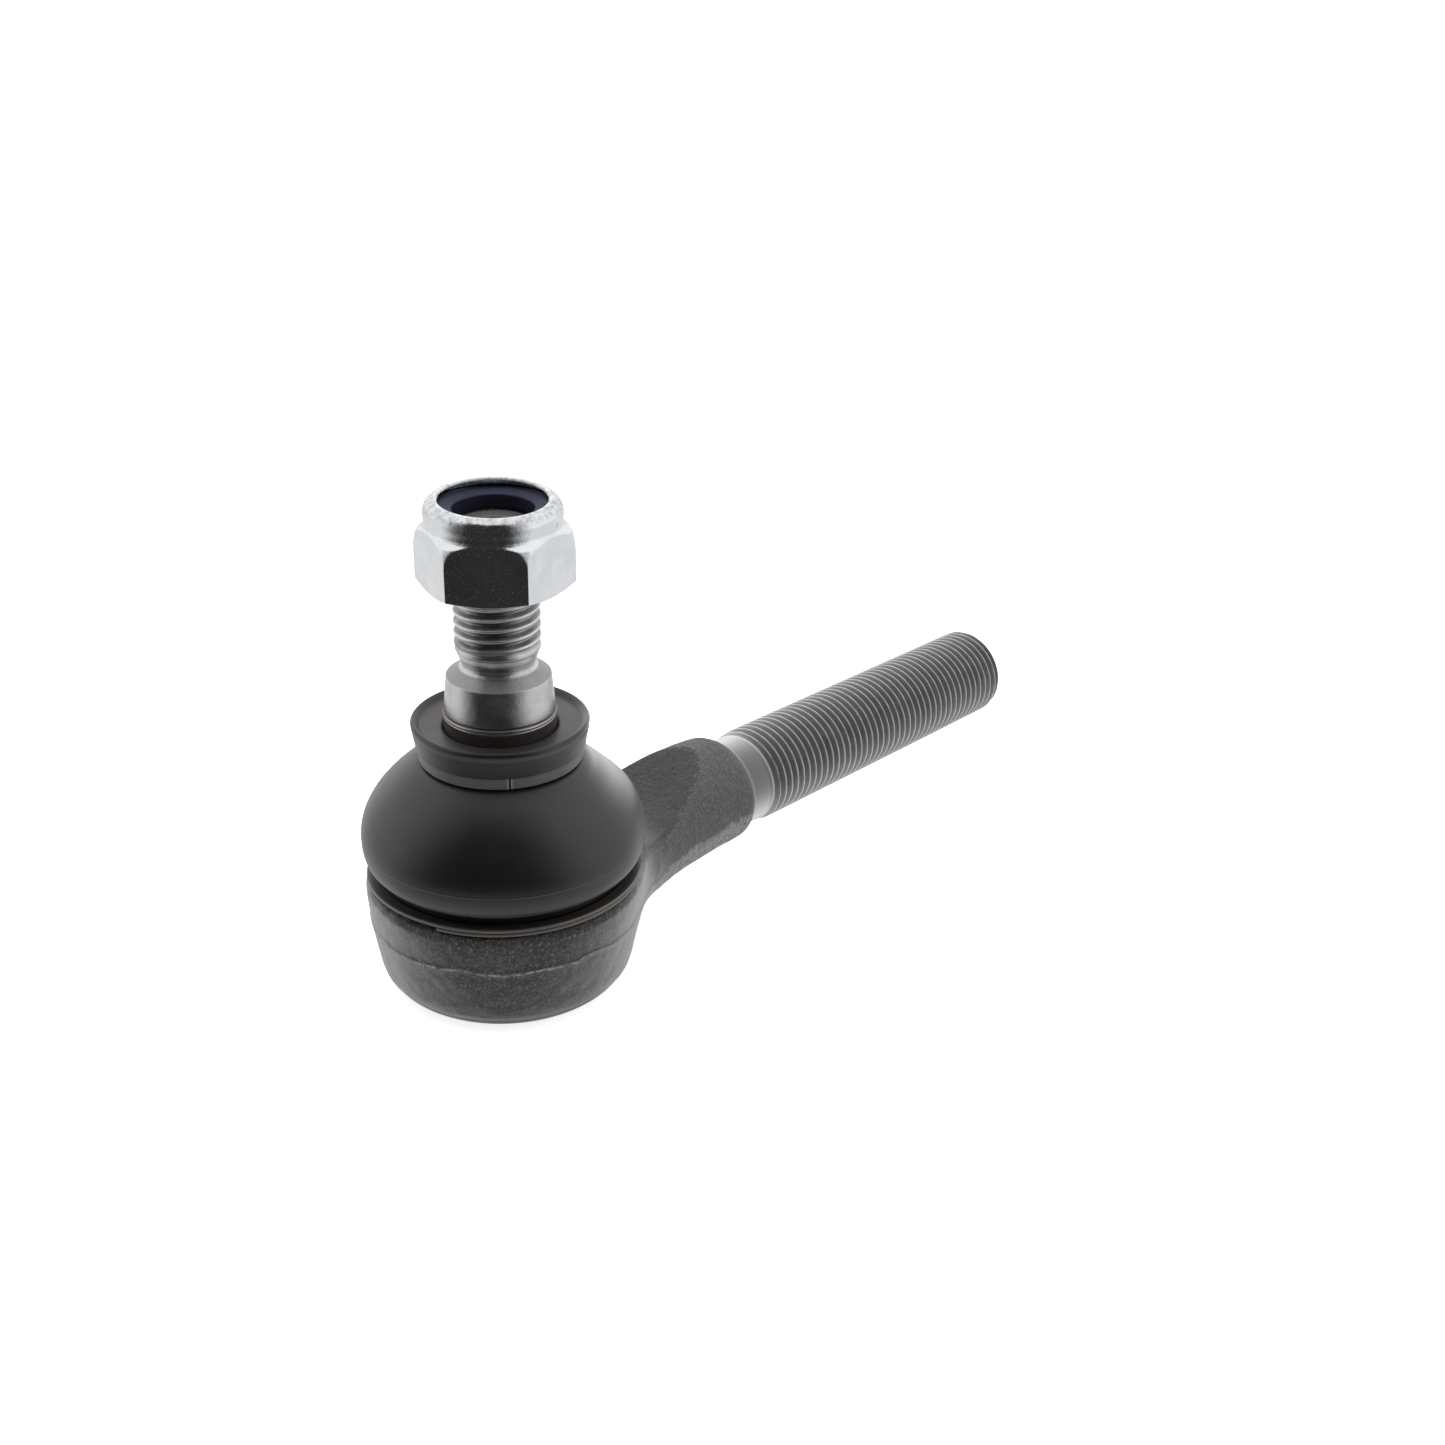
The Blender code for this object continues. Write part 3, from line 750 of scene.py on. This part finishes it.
def make_lower_ring(material):
    """Flat wire wound on edge: the lower turn crosses up to the upper one over a short stretch."""
    inner, outer = 18.2, LOWER_RING_HIGH[0]
    crossing = 7 / 36
    bottom = LOWER_RING_LOW[2]
    top = bottom + 0.46
    corners = [(inner, top, 0.1), (outer, top, 0.14), (outer, bottom, 0.14), (inner, bottom, 0.1)]
    path = divided(rounded(corners, True, 3), 0.5, True)
    start = math.radians(201)
    turns = np.linspace(0, 2 - crossing, 380)
    lift = 0.58 * smooth_step(turns, 1 - crossing, 1)
    points, faces = coil(path, start + turns * 2 * math.pi, lift)
    points, faces = with_ends(points, faces, len(path), len(turns))
    edges = (outer, bottom), (outer, top)
    from_edge = [min(math.dist(point, edge) for edge in edges) for point in path]
    worn = np.exp(-((np.array(from_edge) / 0.13) ** 2))
    masks = {"edge": np.concatenate((np.repeat(worn, len(turns)), np.zeros(2)))}
    return build(
        "spiral_ring", points, faces, "housing", "boot_lower_ring", material, masks=masks
    )


def make_plate(material):
    low, high, wide = PLATE_LOW[2], PLATE_HIGH[2], PLATE_HIGH[0]
    corners = [(0, high), (wide, high, 0.2), (wide, low, 0.3), (8.9, low, 0.4), (7.7, low + 0.25, 0.4)]
    path = divided(rounded(corners + [(0, low + 0.25)]), 0.7)
    points, faces = turned(path, full_turn(96))
    return build("bottom_plate", points, faces, "housing", "closing_plate", material)


# ---------------------------------------------------------------- materials


class Graph:
    """Short ways to add and join shader nodes."""

    def __init__(self, tree):
        self.tree = tree

    def add(self, kind, **settings):
        made = self.tree.nodes.new(kind)
        for key, value in settings.items():
            setattr(made, key, value)
        return made

    def feed(self, socket, value):
        if isinstance(value, bpy.types.NodeSocket):
            self.tree.links.new(value, socket)
        elif isinstance(value, tuple) and len(value) == 3 and socket.type == "RGBA":
            socket.default_value = (*value, 1.0)
        else:
            socket.default_value = value

    def math(self, operation, a, b=0.0):
        made = self.add("ShaderNodeMath", operation=operation)
        self.feed(made.inputs[0], a)
        self.feed(made.inputs[1], b)
        return made.outputs[0]

    def times(self, value, *factors):
        for factor in factors:
            value = self.math("MULTIPLY", value, factor)
        return value

    def vector(self, operation, value, other=None):
        made = self.add("ShaderNodeVectorMath", operation=operation)
        self.feed(made.inputs[0], value)
        if other is not None:
            made.inputs[1].default_value = other
        return made.outputs["Value" if operation == "LENGTH" else "Vector"]

    def split(self, vector):
        made = self.add("ShaderNodeSeparateXYZ")
        self.feed(made.inputs[0], vector)
        return made.outputs

    def between(self, value, low, high, start=0.0, end=1.0):
        made = self.add("ShaderNodeMapRange", interpolation_type="SMOOTHSTEP")
        self.feed(made.inputs["Value"], value)
        for key, number in zip(("From Min", "From Max", "To Min", "To Max"), (low, high, start, end)):
            made.inputs[key].default_value = number
        return made.outputs["Result"]


class Nodes(Graph):
    """The nodes of one material. Its place is in millimetres, like the outlines."""

    def __init__(self, name, on_cad=False):
        self.material = bpy.data.materials.new(name)
        self.material.use_nodes = True
        super().__init__(self.material.node_tree)
        self.shader = self.tree.nodes["Principled BSDF"]
        if on_cad:
            place = self.add("ShaderNodeTexCoord").outputs["Object"]
            place = self.vector("SUBTRACT", place, BALL)
            self.place = self.vector("MULTIPLY", place, (1 / MM, 1 / MM, 1 / MM))
        else:
            self.place = self.mask("rest_mm", "Vector")

    def set(self, **values):
        for key, value in values.items():
            self.feed(self.shader.inputs[key.replace("_", " ")], value)

    def mask(self, name, output="Fac"):
        return self.add("ShaderNodeAttribute", attribute_name=name).outputs[output]

    def parts(self):
        return self.split(self.place)

    def scaled(self, x, y, z):
        return self.vector("MULTIPLY", self.place, (x, y, z))

    def noise(self, size, detail=3.0, rough=0.55, place=None):
        """Noise from 0 to 1 with features of about this many millimetres."""
        made = self.add("ShaderNodeTexNoise")
        self.feed(made.inputs["Vector"], self.place if place is None else place)
        made.inputs["Scale"].default_value = 1 / size
        made.inputs["Detail"].default_value = detail
        made.inputs["Roughness"].default_value = rough
        return made.outputs["Fac"]

    def mix(self, share, a, b):
        """A blend of two colours, where a bare number is a grey."""
        made = self.add("ShaderNodeMix", data_type="RGBA")
        self.feed(made.inputs[0], share)
        for index, value in ((6, a), (7, b)):
            self.feed(made.inputs[index], grey(value) if isinstance(value, float) else value)
        return made.outputs[2]

    def bump(self, height, depth, under=None):
        """Relief this many millimetres deep, on top of another one."""
        made = self.add("ShaderNodeBump")
        made.inputs["Distance"].default_value = depth * MM
        self.feed(made.inputs["Height"], height)
        if under is not None:
            self.feed(made.inputs["Normal"], under)
        return made.outputs["Normal"]

    def grazing(self, low, high, normal=None):
        """From 0 where the surface faces the camera to 1 where it turns away."""
        made = self.add("ShaderNodeLayerWeight")
        made.inputs["Blend"].default_value = 0.5
        if normal is not None:
            self.feed(made.inputs["Normal"], normal)
        return self.between(made.outputs["Facing"], low, high)

    def sheen(self, low, high):
        """Grows from 0 to 1 towards the two edges of the shank as a plain round bar would show them."""
        return self.grazing(low, high, self.vector("NORMALIZE", self.scaled(0.0, 1.0, 1.0)))


def grey(level):
    return (level, level, level * 1.02)


def forged_steel():
    """Dark phosphated forging skin: coarse grain, rubbed light on its flash line and creases, with a
    painted sheen towards its outline, painted shade in the dish round the boot, and painted reflection of
    the floor on the crimp and on the arm's underside.
    """
    n = Nodes("forged_steel")
    fine = n.noise(0.42, 4.0, 0.7)
    patch = n.noise(5.0, 3.0)
    machined = n.mask("machined")
    tone = n.mix(n.between(patch, 0.3, 0.72), 0.045, 0.078)
    tone = n.mix(n.between(n.noise(0.36, 3.0, 0.7), 0.36, 0.52, 0.75, 0.0), tone, 0.018)
    tone = n.mix(n.between(fine, 0.5, 0.7, 0.0, 0.9), tone, 0.2)
    # Painted sheen: lighter where the surface turns away from the camera.
    tone = n.mix(n.grazing(0.2, 0.9), tone, 0.42)
    tone = on_the_arm(n, tone, fine)
    tone = n.mix(flash_share(n), tone, 0.36)
    # Painted shade: the dish that the boot sits in is made darker.
    tone = n.mix(n.times(n.mask("dish"), 0.75), tone, n.mix(fine, 0.035, 0.08))
    worn = n.between(n.noise(0.5, 3.0), 0.5, 0.68, 0.0, 0.8)
    tone = n.mix(n.times(n.mask("crease"), worn), tone, 0.26)
    # Painted reflection of the floor: a lighter band round the crimp, and a thin painted highlight along
    # its upper edge.
    tone = n.mix(n.times(n.mask("crimp"), 0.65), tone, 0.12)
    from_crimp = n.math("ABSOLUTE", n.math("SUBTRACT", n.parts()[2], CRIMP_HEIGHT))
    tone = n.mix(n.between(from_crimp, 0.05, 0.2, 0.6, 0.0), tone, 0.35)
    tone = n.mix(machined, tone, neck_tone(n))
    rough = n.math("SUBTRACT", n.between(patch, 0.2, 0.8, 0.5, 0.66), n.times(machined, 0.22))
    metal = n.math("ADD", 0.3, n.times(machined, 0.5))
    relief = n.bump(n.noise(0.4, 3.0, 0.6), 0.34)
    relief = n.bump(n.noise(1.3, 3.0), 0.4, relief)
    n.set(Base_Color=tone, Metallic=metal, Roughness=rough, Normal=relief)
    return n.material


def flash_share(n):
    """A thin line where the two dies met round the cup."""
    line = n.between(n.math("ABSOLUTE", n.mask("from_flash")), 0.06, 0.3, 1.0, 0.0)
    broken = n.between(n.noise(1.2, 4.0, 0.7), 0.35, 0.6, 0.1, 0.9)
    return n.times(line, broken, n.between(n.mask("on_arm"), 0.0, 0.6, 1.0, 0.0))


def on_the_arm(n, tone, fine):
    """The arm is lighter than the cup, and below its parting line lighter still as a painted reflection of
    the white floor, with dark scratches.
    """
    side = n.mix(n.between(fine, 0.4, 0.7), 0.10, 0.16)
    # Painted reflection of the floor: the arm's lower half is made lighter than its upper side.
    lower = n.mix(n.between(fine, 0.35, 0.7), 0.2, 0.36)
    marks = n.between(n.noise(1.0, 3.0, 0.6, n.scaled(1.5, 1.5, 0.3)), 0.55, 0.63)
    lower = n.mix(n.times(marks, 0.75), lower, 0.06)
    ragged = n.math("ADD", n.mask("from_flash"), n.times(n.noise(2.2, 4.0, 0.7), 2.4))
    below = n.between(ragged, 0.9, 1.6, 1.0, 0.0)
    return n.mix(n.mask("on_arm"), tone, n.mix(below, side, lower))


def neck_tone(n):
    """Turned steel, brightest next to the block and greyer towards the thread, with a painted sheen towards
    its two edges.
    """
    tone = n.mix(n.between(n.parts()[0], ARM_END + 0.3, ARM_END + 2.0), 0.3, 0.15)
    # Painted sheen towards the two edges of the neck.
    return n.mix(n.sheen(0.2, 0.8), tone, 0.8)


def thread_steel():
    """The shank's rolled thread: grey flanks, with its crests rubbed to thin light lines. Painted shade
    darkens the roots and a painted highlight brightens the crest lines, both most on the underside; painted
    light lifts the top and a painted sheen the two edges.
    """
    n = Nodes("thread_steel")
    along, _, height = n.parts()
    patch = n.noise(3.5, 3.0)
    crest = n.mask("crest")
    edge = n.sheen(0.12, 0.75)
    neck = n.between(along, THREAD_START, THREAD_START + 2.0, 1.0, 0.0)
    # Painted shade in the thread roots, heaviest on the underside.
    root = n.times(n.between(crest, 0.0, 0.35, 0.6, 0.0), n.between(height, -1.0, 5.0, 1.0, 0.2))
    tone = n.mix(root, n.mix(n.between(patch, 0.3, 0.7), 0.085, 0.14), 0.04)
    # Crest lines: rubbed crests, with a painted highlight that is strongest on the underside and fades at
    # the edges.
    wear_and_highlight = n.times(
        n.between(crest, 0.86, 0.99),
        n.between(n.noise(1.5, 2.0), 0.2, 0.6, 0.6, 1.0),
        n.between(along, SHANK_END - 9.0, SHANK_END - 2.0, 1.0, 0.25),
        n.between(height, -1.0, 5.0, 1.0, 0.25),
        n.math("SUBTRACT", 1.0, n.times(edge, 0.7)),
    )
    tone = n.mix(wear_and_highlight, tone, 0.5)
    # Painted sheen towards the two edges of the bar.
    tone = n.mix(n.times(edge, 0.35), tone, 0.6)
    # Painted light: the upper side is made lighter.
    tone = n.mix(n.between(height, 1.0, 6.5, 0.0, 0.4), tone, 0.22)
    # Painted sheen where the surface turns away from the camera.
    tone = n.mix(n.grazing(0.08, 0.85), tone, 0.78)
    tone = n.mix(neck, tone, neck_tone(n))
    metal = n.math("ADD", 0.4, n.times(neck, 0.4))
    rough = n.math("SUBTRACT", n.between(patch, 0.2, 0.8, 0.45, 0.58), n.times(neck, 0.12))
    n.set(Base_Color=tone, Metallic=metal, Roughness=rough, Normal=n.bump(n.noise(0.4, 3.0), 0.06))
    return n.material


def turned_steel():
    """Turned cone and rolled thread; the sealing band below is dark and oiled."""
    n = Nodes("turned_steel")
    height = n.parts()[2]
    lines = n.noise(1.0, 3.0, 0.7, n.scaled(0.12, 0.12, 7.0))
    patch = n.noise(2.2, 4.0)
    clouds = n.between(patch, 0.3, 0.7)
    tone = n.mix(clouds, 0.55, 0.68)
    tone = n.mix(n.between(lines, 0.55, 0.72, 0.0, 0.3), tone, 0.33)
    chamfer = n.between(height, CONE_TOP - 0.05, CONE_TOP + 0.1)
    chamfer = n.times(chamfer, n.between(height, CHAMFER_TOP + 0.15, CHAMFER_TOP))
    tone = n.mix(chamfer, tone, n.mix(patch, 0.22, 0.4))
    on_thread = n.between(height, STUD_THREAD_START + 0.3, STUD_THREAD_START + 0.8)
    ridged = n.mix(n.between(n.mask("crest"), 0.72, 0.96), n.mix(clouds, 0.28, 0.45), 0.75)
    tone = n.mix(on_thread, tone, ridged)
    tone = n.mix(n.between(height, STUD_TIP - 0.7, STUD_TIP - 0.3), tone, 0.1)
    dark_below = n.between(height, SEAL_TOP - 0.03, SEAL_TOP + 0.11, 1.0, 0.0)
    tone = n.mix(dark_below, tone, (0.062, 0.055, 0.05))
    groove = n.between(height, GROOVE_HEIGHT - 0.2, GROOVE_HEIGHT - 0.1)
    groove = n.times(groove, n.between(height, GROOVE_HEIGHT + 0.15, GROOVE_HEIGHT + 0.05))
    tone = n.mix(groove, tone, (0.12, 0.09, 0.072))
    on_tip = n.between(height, STUD_TIP - 0.8, STUD_TIP - 0.3, 0.0, 0.8)
    metal = n.math("SUBTRACT", 1.0, n.math("MAXIMUM", n.times(dark_below, 0.9), on_tip))
    rough = n.math("ADD", n.between(patch, 0.2, 0.8, 0.26, 0.36), n.times(on_thread, 0.08))
    relief = n.bump(n.noise(0.5, 3.0), 0.03, n.bump(lines, 0.015))
    n.set(Base_Color=tone, Metallic=metal, Roughness=rough, Normal=relief)
    return n.material


def zinc_plate():
    """Bright zinc over a formed nut: slightly wavy, with fine dull specks and a few pits."""
    n = Nodes("zinc_plate")
    patch = n.noise(2.5, 3.0)
    tone = n.mix(n.between(patch, 0.3, 0.7), (0.75, 0.77, 0.79), (0.83, 0.85, 0.87))
    pits = n.between(n.noise(0.45, 2.0), 0.7, 0.8)
    tone = n.mix(n.times(pits, 0.3), tone, 0.35)
    rolled = n.between(n.parts()[2], NUT_HIGH[2] - 1.9, NUT_HIGH[2] - 1.1)
    smears = n.times(n.between(n.noise(0.9, 4.0, 0.7), 0.36, 0.7), 0.7)
    tone = n.mix(n.times(rolled, smears), tone, 0.3)
    relief = n.bump(n.noise(0.5, 3.0), 0.02)
    relief = n.bump(n.noise(2.2, 2.0), 0.06, relief)
    relief = n.bump(n.times(rolled, n.noise(0.9, 3.0)), 0.06, relief)
    dull = n.between(n.noise(0.17, 3.0, 0.7), 0.6, 0.74)
    lip = n.mask("lip")
    rough = n.math("ADD", n.times(dull, 0.45), n.times(lip, 0.4))
    rough = n.math("ADD", n.between(patch, 0.2, 0.8, 0.12, 0.18), rough)
    metal = n.math("ADD", n.times(dull, 0.12), n.times(lip, 0.85))
    metal = n.math("SUBTRACT", 1.0, metal)
    n.set(Base_Color=tone, Metallic=metal, Roughness=rough, Normal=relief)
    return n.material


def boot_rubber():
    """Satin black rubber, with a mould line round the belly and a little dust; a painted sheen lightens its
    outline, most on one side's upper slope, and painted light greys the lip's upward-facing floor.
    """
    n = Nodes("boot_rubber")
    x, y, height = n.parts()
    patch = n.noise(9.0, 3.0)
    tone = n.mix(patch, 0.004, 0.008)
    # Painted sheen where the rubber turns away from the camera.
    tone = n.mix(n.grazing(0.45, 1.0), tone, 0.09)
    # Painted sheen on one side's upper slope, where it turns away from the camera.
    to_side = n.times(y, math.sin(HOLLOW_SIDE))
    to_side = n.math("ADD", n.times(x, math.cos(HOLLOW_SIDE)), to_side)
    wear_and_highlight = n.times(n.grazing(0.35, 0.95), n.between(to_side, 3.0, 13.0), n.between(height, 14.0, 18.5))
    tone = n.mix(wear_and_highlight, tone, 0.42)
    dust = n.between(n.noise(0.35, 2.0), 0.70, 0.80)
    dust = n.times(dust, n.between(n.noise(6.0, 2.0), 0.45, 0.65), 0.3)
    tone = n.mix(dust, tone, 0.12)
    # Painted light: the lip's upward-facing floor is made lighter grey.
    lip_floor = n.times(n.between(height, 26.4, 26.7), n.between(height, 27.3, 27.0), 0.8)
    tone = n.mix(lip_floor, tone, (0.045, 0.04, 0.036))
    from_line = n.math("ABSOLUTE", n.math("SUBTRACT", height, BELLY_HEIGHT - 0.1))
    line = n.between(from_line, 0.0, 0.16, 1.0, 0.0)
    tone = n.mix(n.times(line, 0.3), tone, (0.05, 0.045, 0.04))
    relief = n.bump(n.noise(0.25, 2.0), 0.012, n.bump(line, 0.03))
    rough = n.between(patch, 0.25, 0.75, 0.34, 0.42)
    n.set(Base_Color=tone, Roughness=rough, Normal=relief, Specular_IOR_Level=0.75)
    return n.material


def ring_polymer():
    """Satin moulded band, pale where it is split, with a painted sheen where it turns away from the camera.
    """
    n = Nodes("ring_polymer")
    tone = n.mix(n.noise(2.0, 3.0), 0.075, 0.11)
    # Painted sheen where the band turns away from the camera.
    tone = n.mix(n.grazing(0.3, 0.95), tone, 0.2)
    tone = n.mix(n.mask("split"), tone, 0.3)
    n.set(Base_Color=tone, Roughness=0.45, Normal=n.bump(n.noise(0.4, 3.0), 0.03))
    return n.material


def ring_steel():
    """Oiled flat spring wire, brown from tempering, bright on its edges, with a painted sheen where it
    turns away from the camera.
    """
    n = Nodes("ring_steel")
    tone = n.mix(n.noise(3.0, 3.0), (0.07, 0.06, 0.053), (0.11, 0.095, 0.085))
    # Painted sheen where the wire turns away from the camera.
    tone = n.mix(n.grazing(0.4, 0.95), tone, 0.22)
    tone = n.mix(n.times(n.mask("edge"), 0.8), tone, (0.26, 0.24, 0.22))
    relief = n.bump(n.noise(0.3, 2.0, 0.5, n.scaled(1, 1, 3)), 0.02)
    n.set(Base_Color=tone, Metallic=0.6, Roughness=0.42, Normal=relief)
    return n.material


def plate_steel():
    """Stamped plate, oily, with faint arcs from spinning the crimp over it."""
    n = Nodes("plate_steel")
    tone = n.mix(n.noise(3.0, 4.0), 0.2, 0.36)
    radius = n.vector("LENGTH", n.scaled(1, 1, 0))
    relief = n.bump(n.math("SINE", n.times(radius, 14.0)), 0.006)
    relief = n.bump(n.noise(0.8, 3.0), 0.03, relief)
    n.set(Base_Color=tone, Metallic=0.9, Roughness=0.38, Normal=relief)
    return n.material


def mottled(n, size, dark, light, grain, depth, **values):
    """A plain material with soft clouds of this size and a fine grain."""
    tone = n.mix(n.noise(size, 3.0), dark, light)
    n.set(Base_Color=tone, Normal=n.bump(n.noise(grain, 3.0), depth), **values)
    return n.material


def nylon():
    n = Nodes("nylon")
    dark, light = (0.014, 0.015, 0.034), (0.022, 0.024, 0.05)
    return mottled(n, 1.5, dark, light, 0.6, 0.03, Roughness=0.5, Specular_IOR_Level=0.3)


def bearing_polymer():
    n = Nodes("bearing_polymer", on_cad=True)
    return mottled(n, 2.0, (0.72, 0.7, 0.64), (0.82, 0.8, 0.75), 0.4, 0.02, Roughness=0.45)


def spring_steel():
    n = Nodes("spring_steel", on_cad=True)
    dark, light = (0.13, 0.11, 0.1), (0.24, 0.2, 0.17)
    return mottled(n, 1.5, dark, light, 0.5, 0.02, Metallic=0.9, Roughness=0.38)


def seal_rubber():
    return mottled(Nodes("seal_rubber", on_cad=True), 1.0, 0.015, 0.03, 0.3, 0.02, Roughness=0.6)


def dress_cad_nodes():
    """The pieces inside the cup stay as the CAD made them, and get their own materials."""
    polymer = bearing_polymer()
    looks = {
        "upper_bearing_shell": polymer,
        "lower_bearing_shell": polymer,
        "preload_spring": spring_steel(),
        "plate_seal": seal_rubber(),
    }
    for name, material in looks.items():
        mesh = frame["nodes"][name].data
        mesh.materials.clear()
        mesh.materials.append(material)


# ---------------------------------------------------------------- studio

CAMERA_PLACE = (-147.884, -177.220, 135.588)
CAMERA_TURN = math.radians(-47.57)
CAMERA_DROP = math.radians(25.28)
CAMERA_ROLL = math.radians(1.32)
FOCAL_LENGTH = 45.12
DARK_AZIMUTH = math.radians(216)
DARK_ALL = math.cos(math.radians(32))
DARK_NONE = math.cos(math.radians(82))
DARK_TO = math.sin(math.radians(63))
DARK_GONE = math.sin(math.radians(88))
DARK_LEVEL = 0.03


def make_camera():
    """Looks down at the cup from the side away from the shank, with a slight roll."""
    data = bpy.data.cameras.new("camera")
    data.lens = FOCAL_LENGTH
    data.clip_start = 0.01
    camera = bpy.data.objects.new("camera", data)
    place = Matrix.Translation(Vector(BALL + np.array(CAMERA_PLACE) * MM))
    turn = Matrix.Rotation(CAMERA_TURN, 4, "Z")
    tilt = Matrix.Rotation(math.pi / 2 - CAMERA_DROP, 4, "X")
    camera.matrix_world = place @ turn @ tilt @ Matrix.Rotation(CAMERA_ROLL, 4, "Z")
    show(camera)
    bpy.context.scene.camera = camera


def surroundings(n, direction):
    """Brightness of the studio in a direction: white all round, apart from a dark gap behind the camera."""
    x, y, z = n.split(direction)
    along = n.math("ADD", n.times(x, math.cos(DARK_AZIMUTH)), n.times(y, math.sin(DARK_AZIMUTH)))
    level = n.math("SQRT", n.math("ADD", n.times(x, x), n.times(y, y)))
    cosine = n.math("DIVIDE", along, n.math("ADD", level, 0.0001))
    gap = n.between(cosine, DARK_NONE, DARK_ALL)
    dark = n.times(gap, n.between(z, DARK_TO, DARK_GONE, 1.0, 0.0), 1 - DARK_LEVEL)
    return n.math("SUBTRACT", 1.0, dark)


def make_world():
    """The camera sees plain white, and the pieces see the surroundings."""
    world = bpy.data.worlds.new("studio")
    bpy.context.scene.world = world
    world.use_nodes = True
    n = Graph(world.node_tree)
    direction = n.add("ShaderNodeTexCoord").outputs["Generated"]
    strength = n.add("ShaderNodeMix")
    n.feed(strength.inputs[0], n.add("ShaderNodeLightPath").outputs["Is Camera Ray"])
    n.feed(strength.inputs[2], surroundings(n, direction))
    n.feed(strength.inputs[3], 1.05)
    background = n.tree.nodes["Background"].inputs
    n.feed(background["Strength"], strength.outputs[0])
    n.feed(background["Color"], (1.0, 1.0, 1.0))


def make_floor():
    reach = 4.0
    height = BALL[2] + CUP_BOTTOM * MM
    mesh = bpy.data.meshes.new("floor")
    corners = [(x * reach, y * reach, height) for x, y in ((-1, -1), (1, -1), (1, 1), (-1, 1))]
    mesh.from_pydata(corners, [], [(0, 1, 2, 3)])
    floor = bpy.data.objects.new("floor", mesh)
    show(floor)
    mesh.materials.append(table_white())


def table_white():
    """A white table. Only its far side shows in glossy pieces; towards the camera they see the dark gap."""
    n = Nodes("floor")
    seen = n.add("ShaderNodeLightPath").outputs
    glow = n.math("ADD", n.times(seen["Is Camera Ray"], 0.64), 0.15)
    n.set(Base_Color=(0.9, 0.9, 0.9), Roughness=1.0, Specular_IOR_Level=0.0)
    n.set(Emission_Color=(1.0, 1.0, 1.0), Emission_Strength=glow)
    place = n.add("ShaderNodeTexCoord").outputs["Object"]
    bright = n.add("ShaderNodeMix")
    n.feed(bright.inputs[0], n.between(n.vector("LENGTH", place), 0.03, 0.09))
    n.feed(bright.inputs[2], 0.8)
    n.feed(bright.inputs[3], n.times(surroundings(n, place), 0.82))
    reflected = n.add("ShaderNodeEmission")
    n.feed(reflected.inputs["Strength"], bright.outputs[0])
    choose = n.add("ShaderNodeMixShader")
    n.feed(choose.inputs[0], seen["Is Glossy Ray"])
    n.feed(choose.inputs[1], n.shader.outputs[0])
    n.feed(choose.inputs[2], reflected.outputs[0])
    n.feed(n.tree.nodes["Material Output"].inputs["Surface"], choose.outputs[0])
    return n.material


def make_light(name, place, size, power):
    data = bpy.data.lights.new(name, "AREA")
    data.shape = "DISK"
    data.size = size
    data.energy = power
    light = bpy.data.objects.new(name, data)
    light.location = place
    light.visible_glossy = False
    light.rotation_euler = (-Vector(place)).to_track_quat("-Z", "Y").to_euler()
    show(light)


def make_studio():
    bpy.context.scene.view_settings.view_transform = "Standard"
    make_camera()
    make_world()
    make_floor()
    make_light("top_light", (0.1, 0.25, 1.1), 0.9, 9.0)


# ---------------------------------------------------------------- assembly

make_forging(forged_steel())
make_shank(thread_steel())
make_stud(turned_steel())
make_nut(zinc_plate())
make_insert(nylon())
make_boot(boot_rubber())
make_upper_ring(ring_polymer())
make_lower_ring(ring_steel())
make_plate(plate_steel())
dress_cad_nodes()
make_studio()
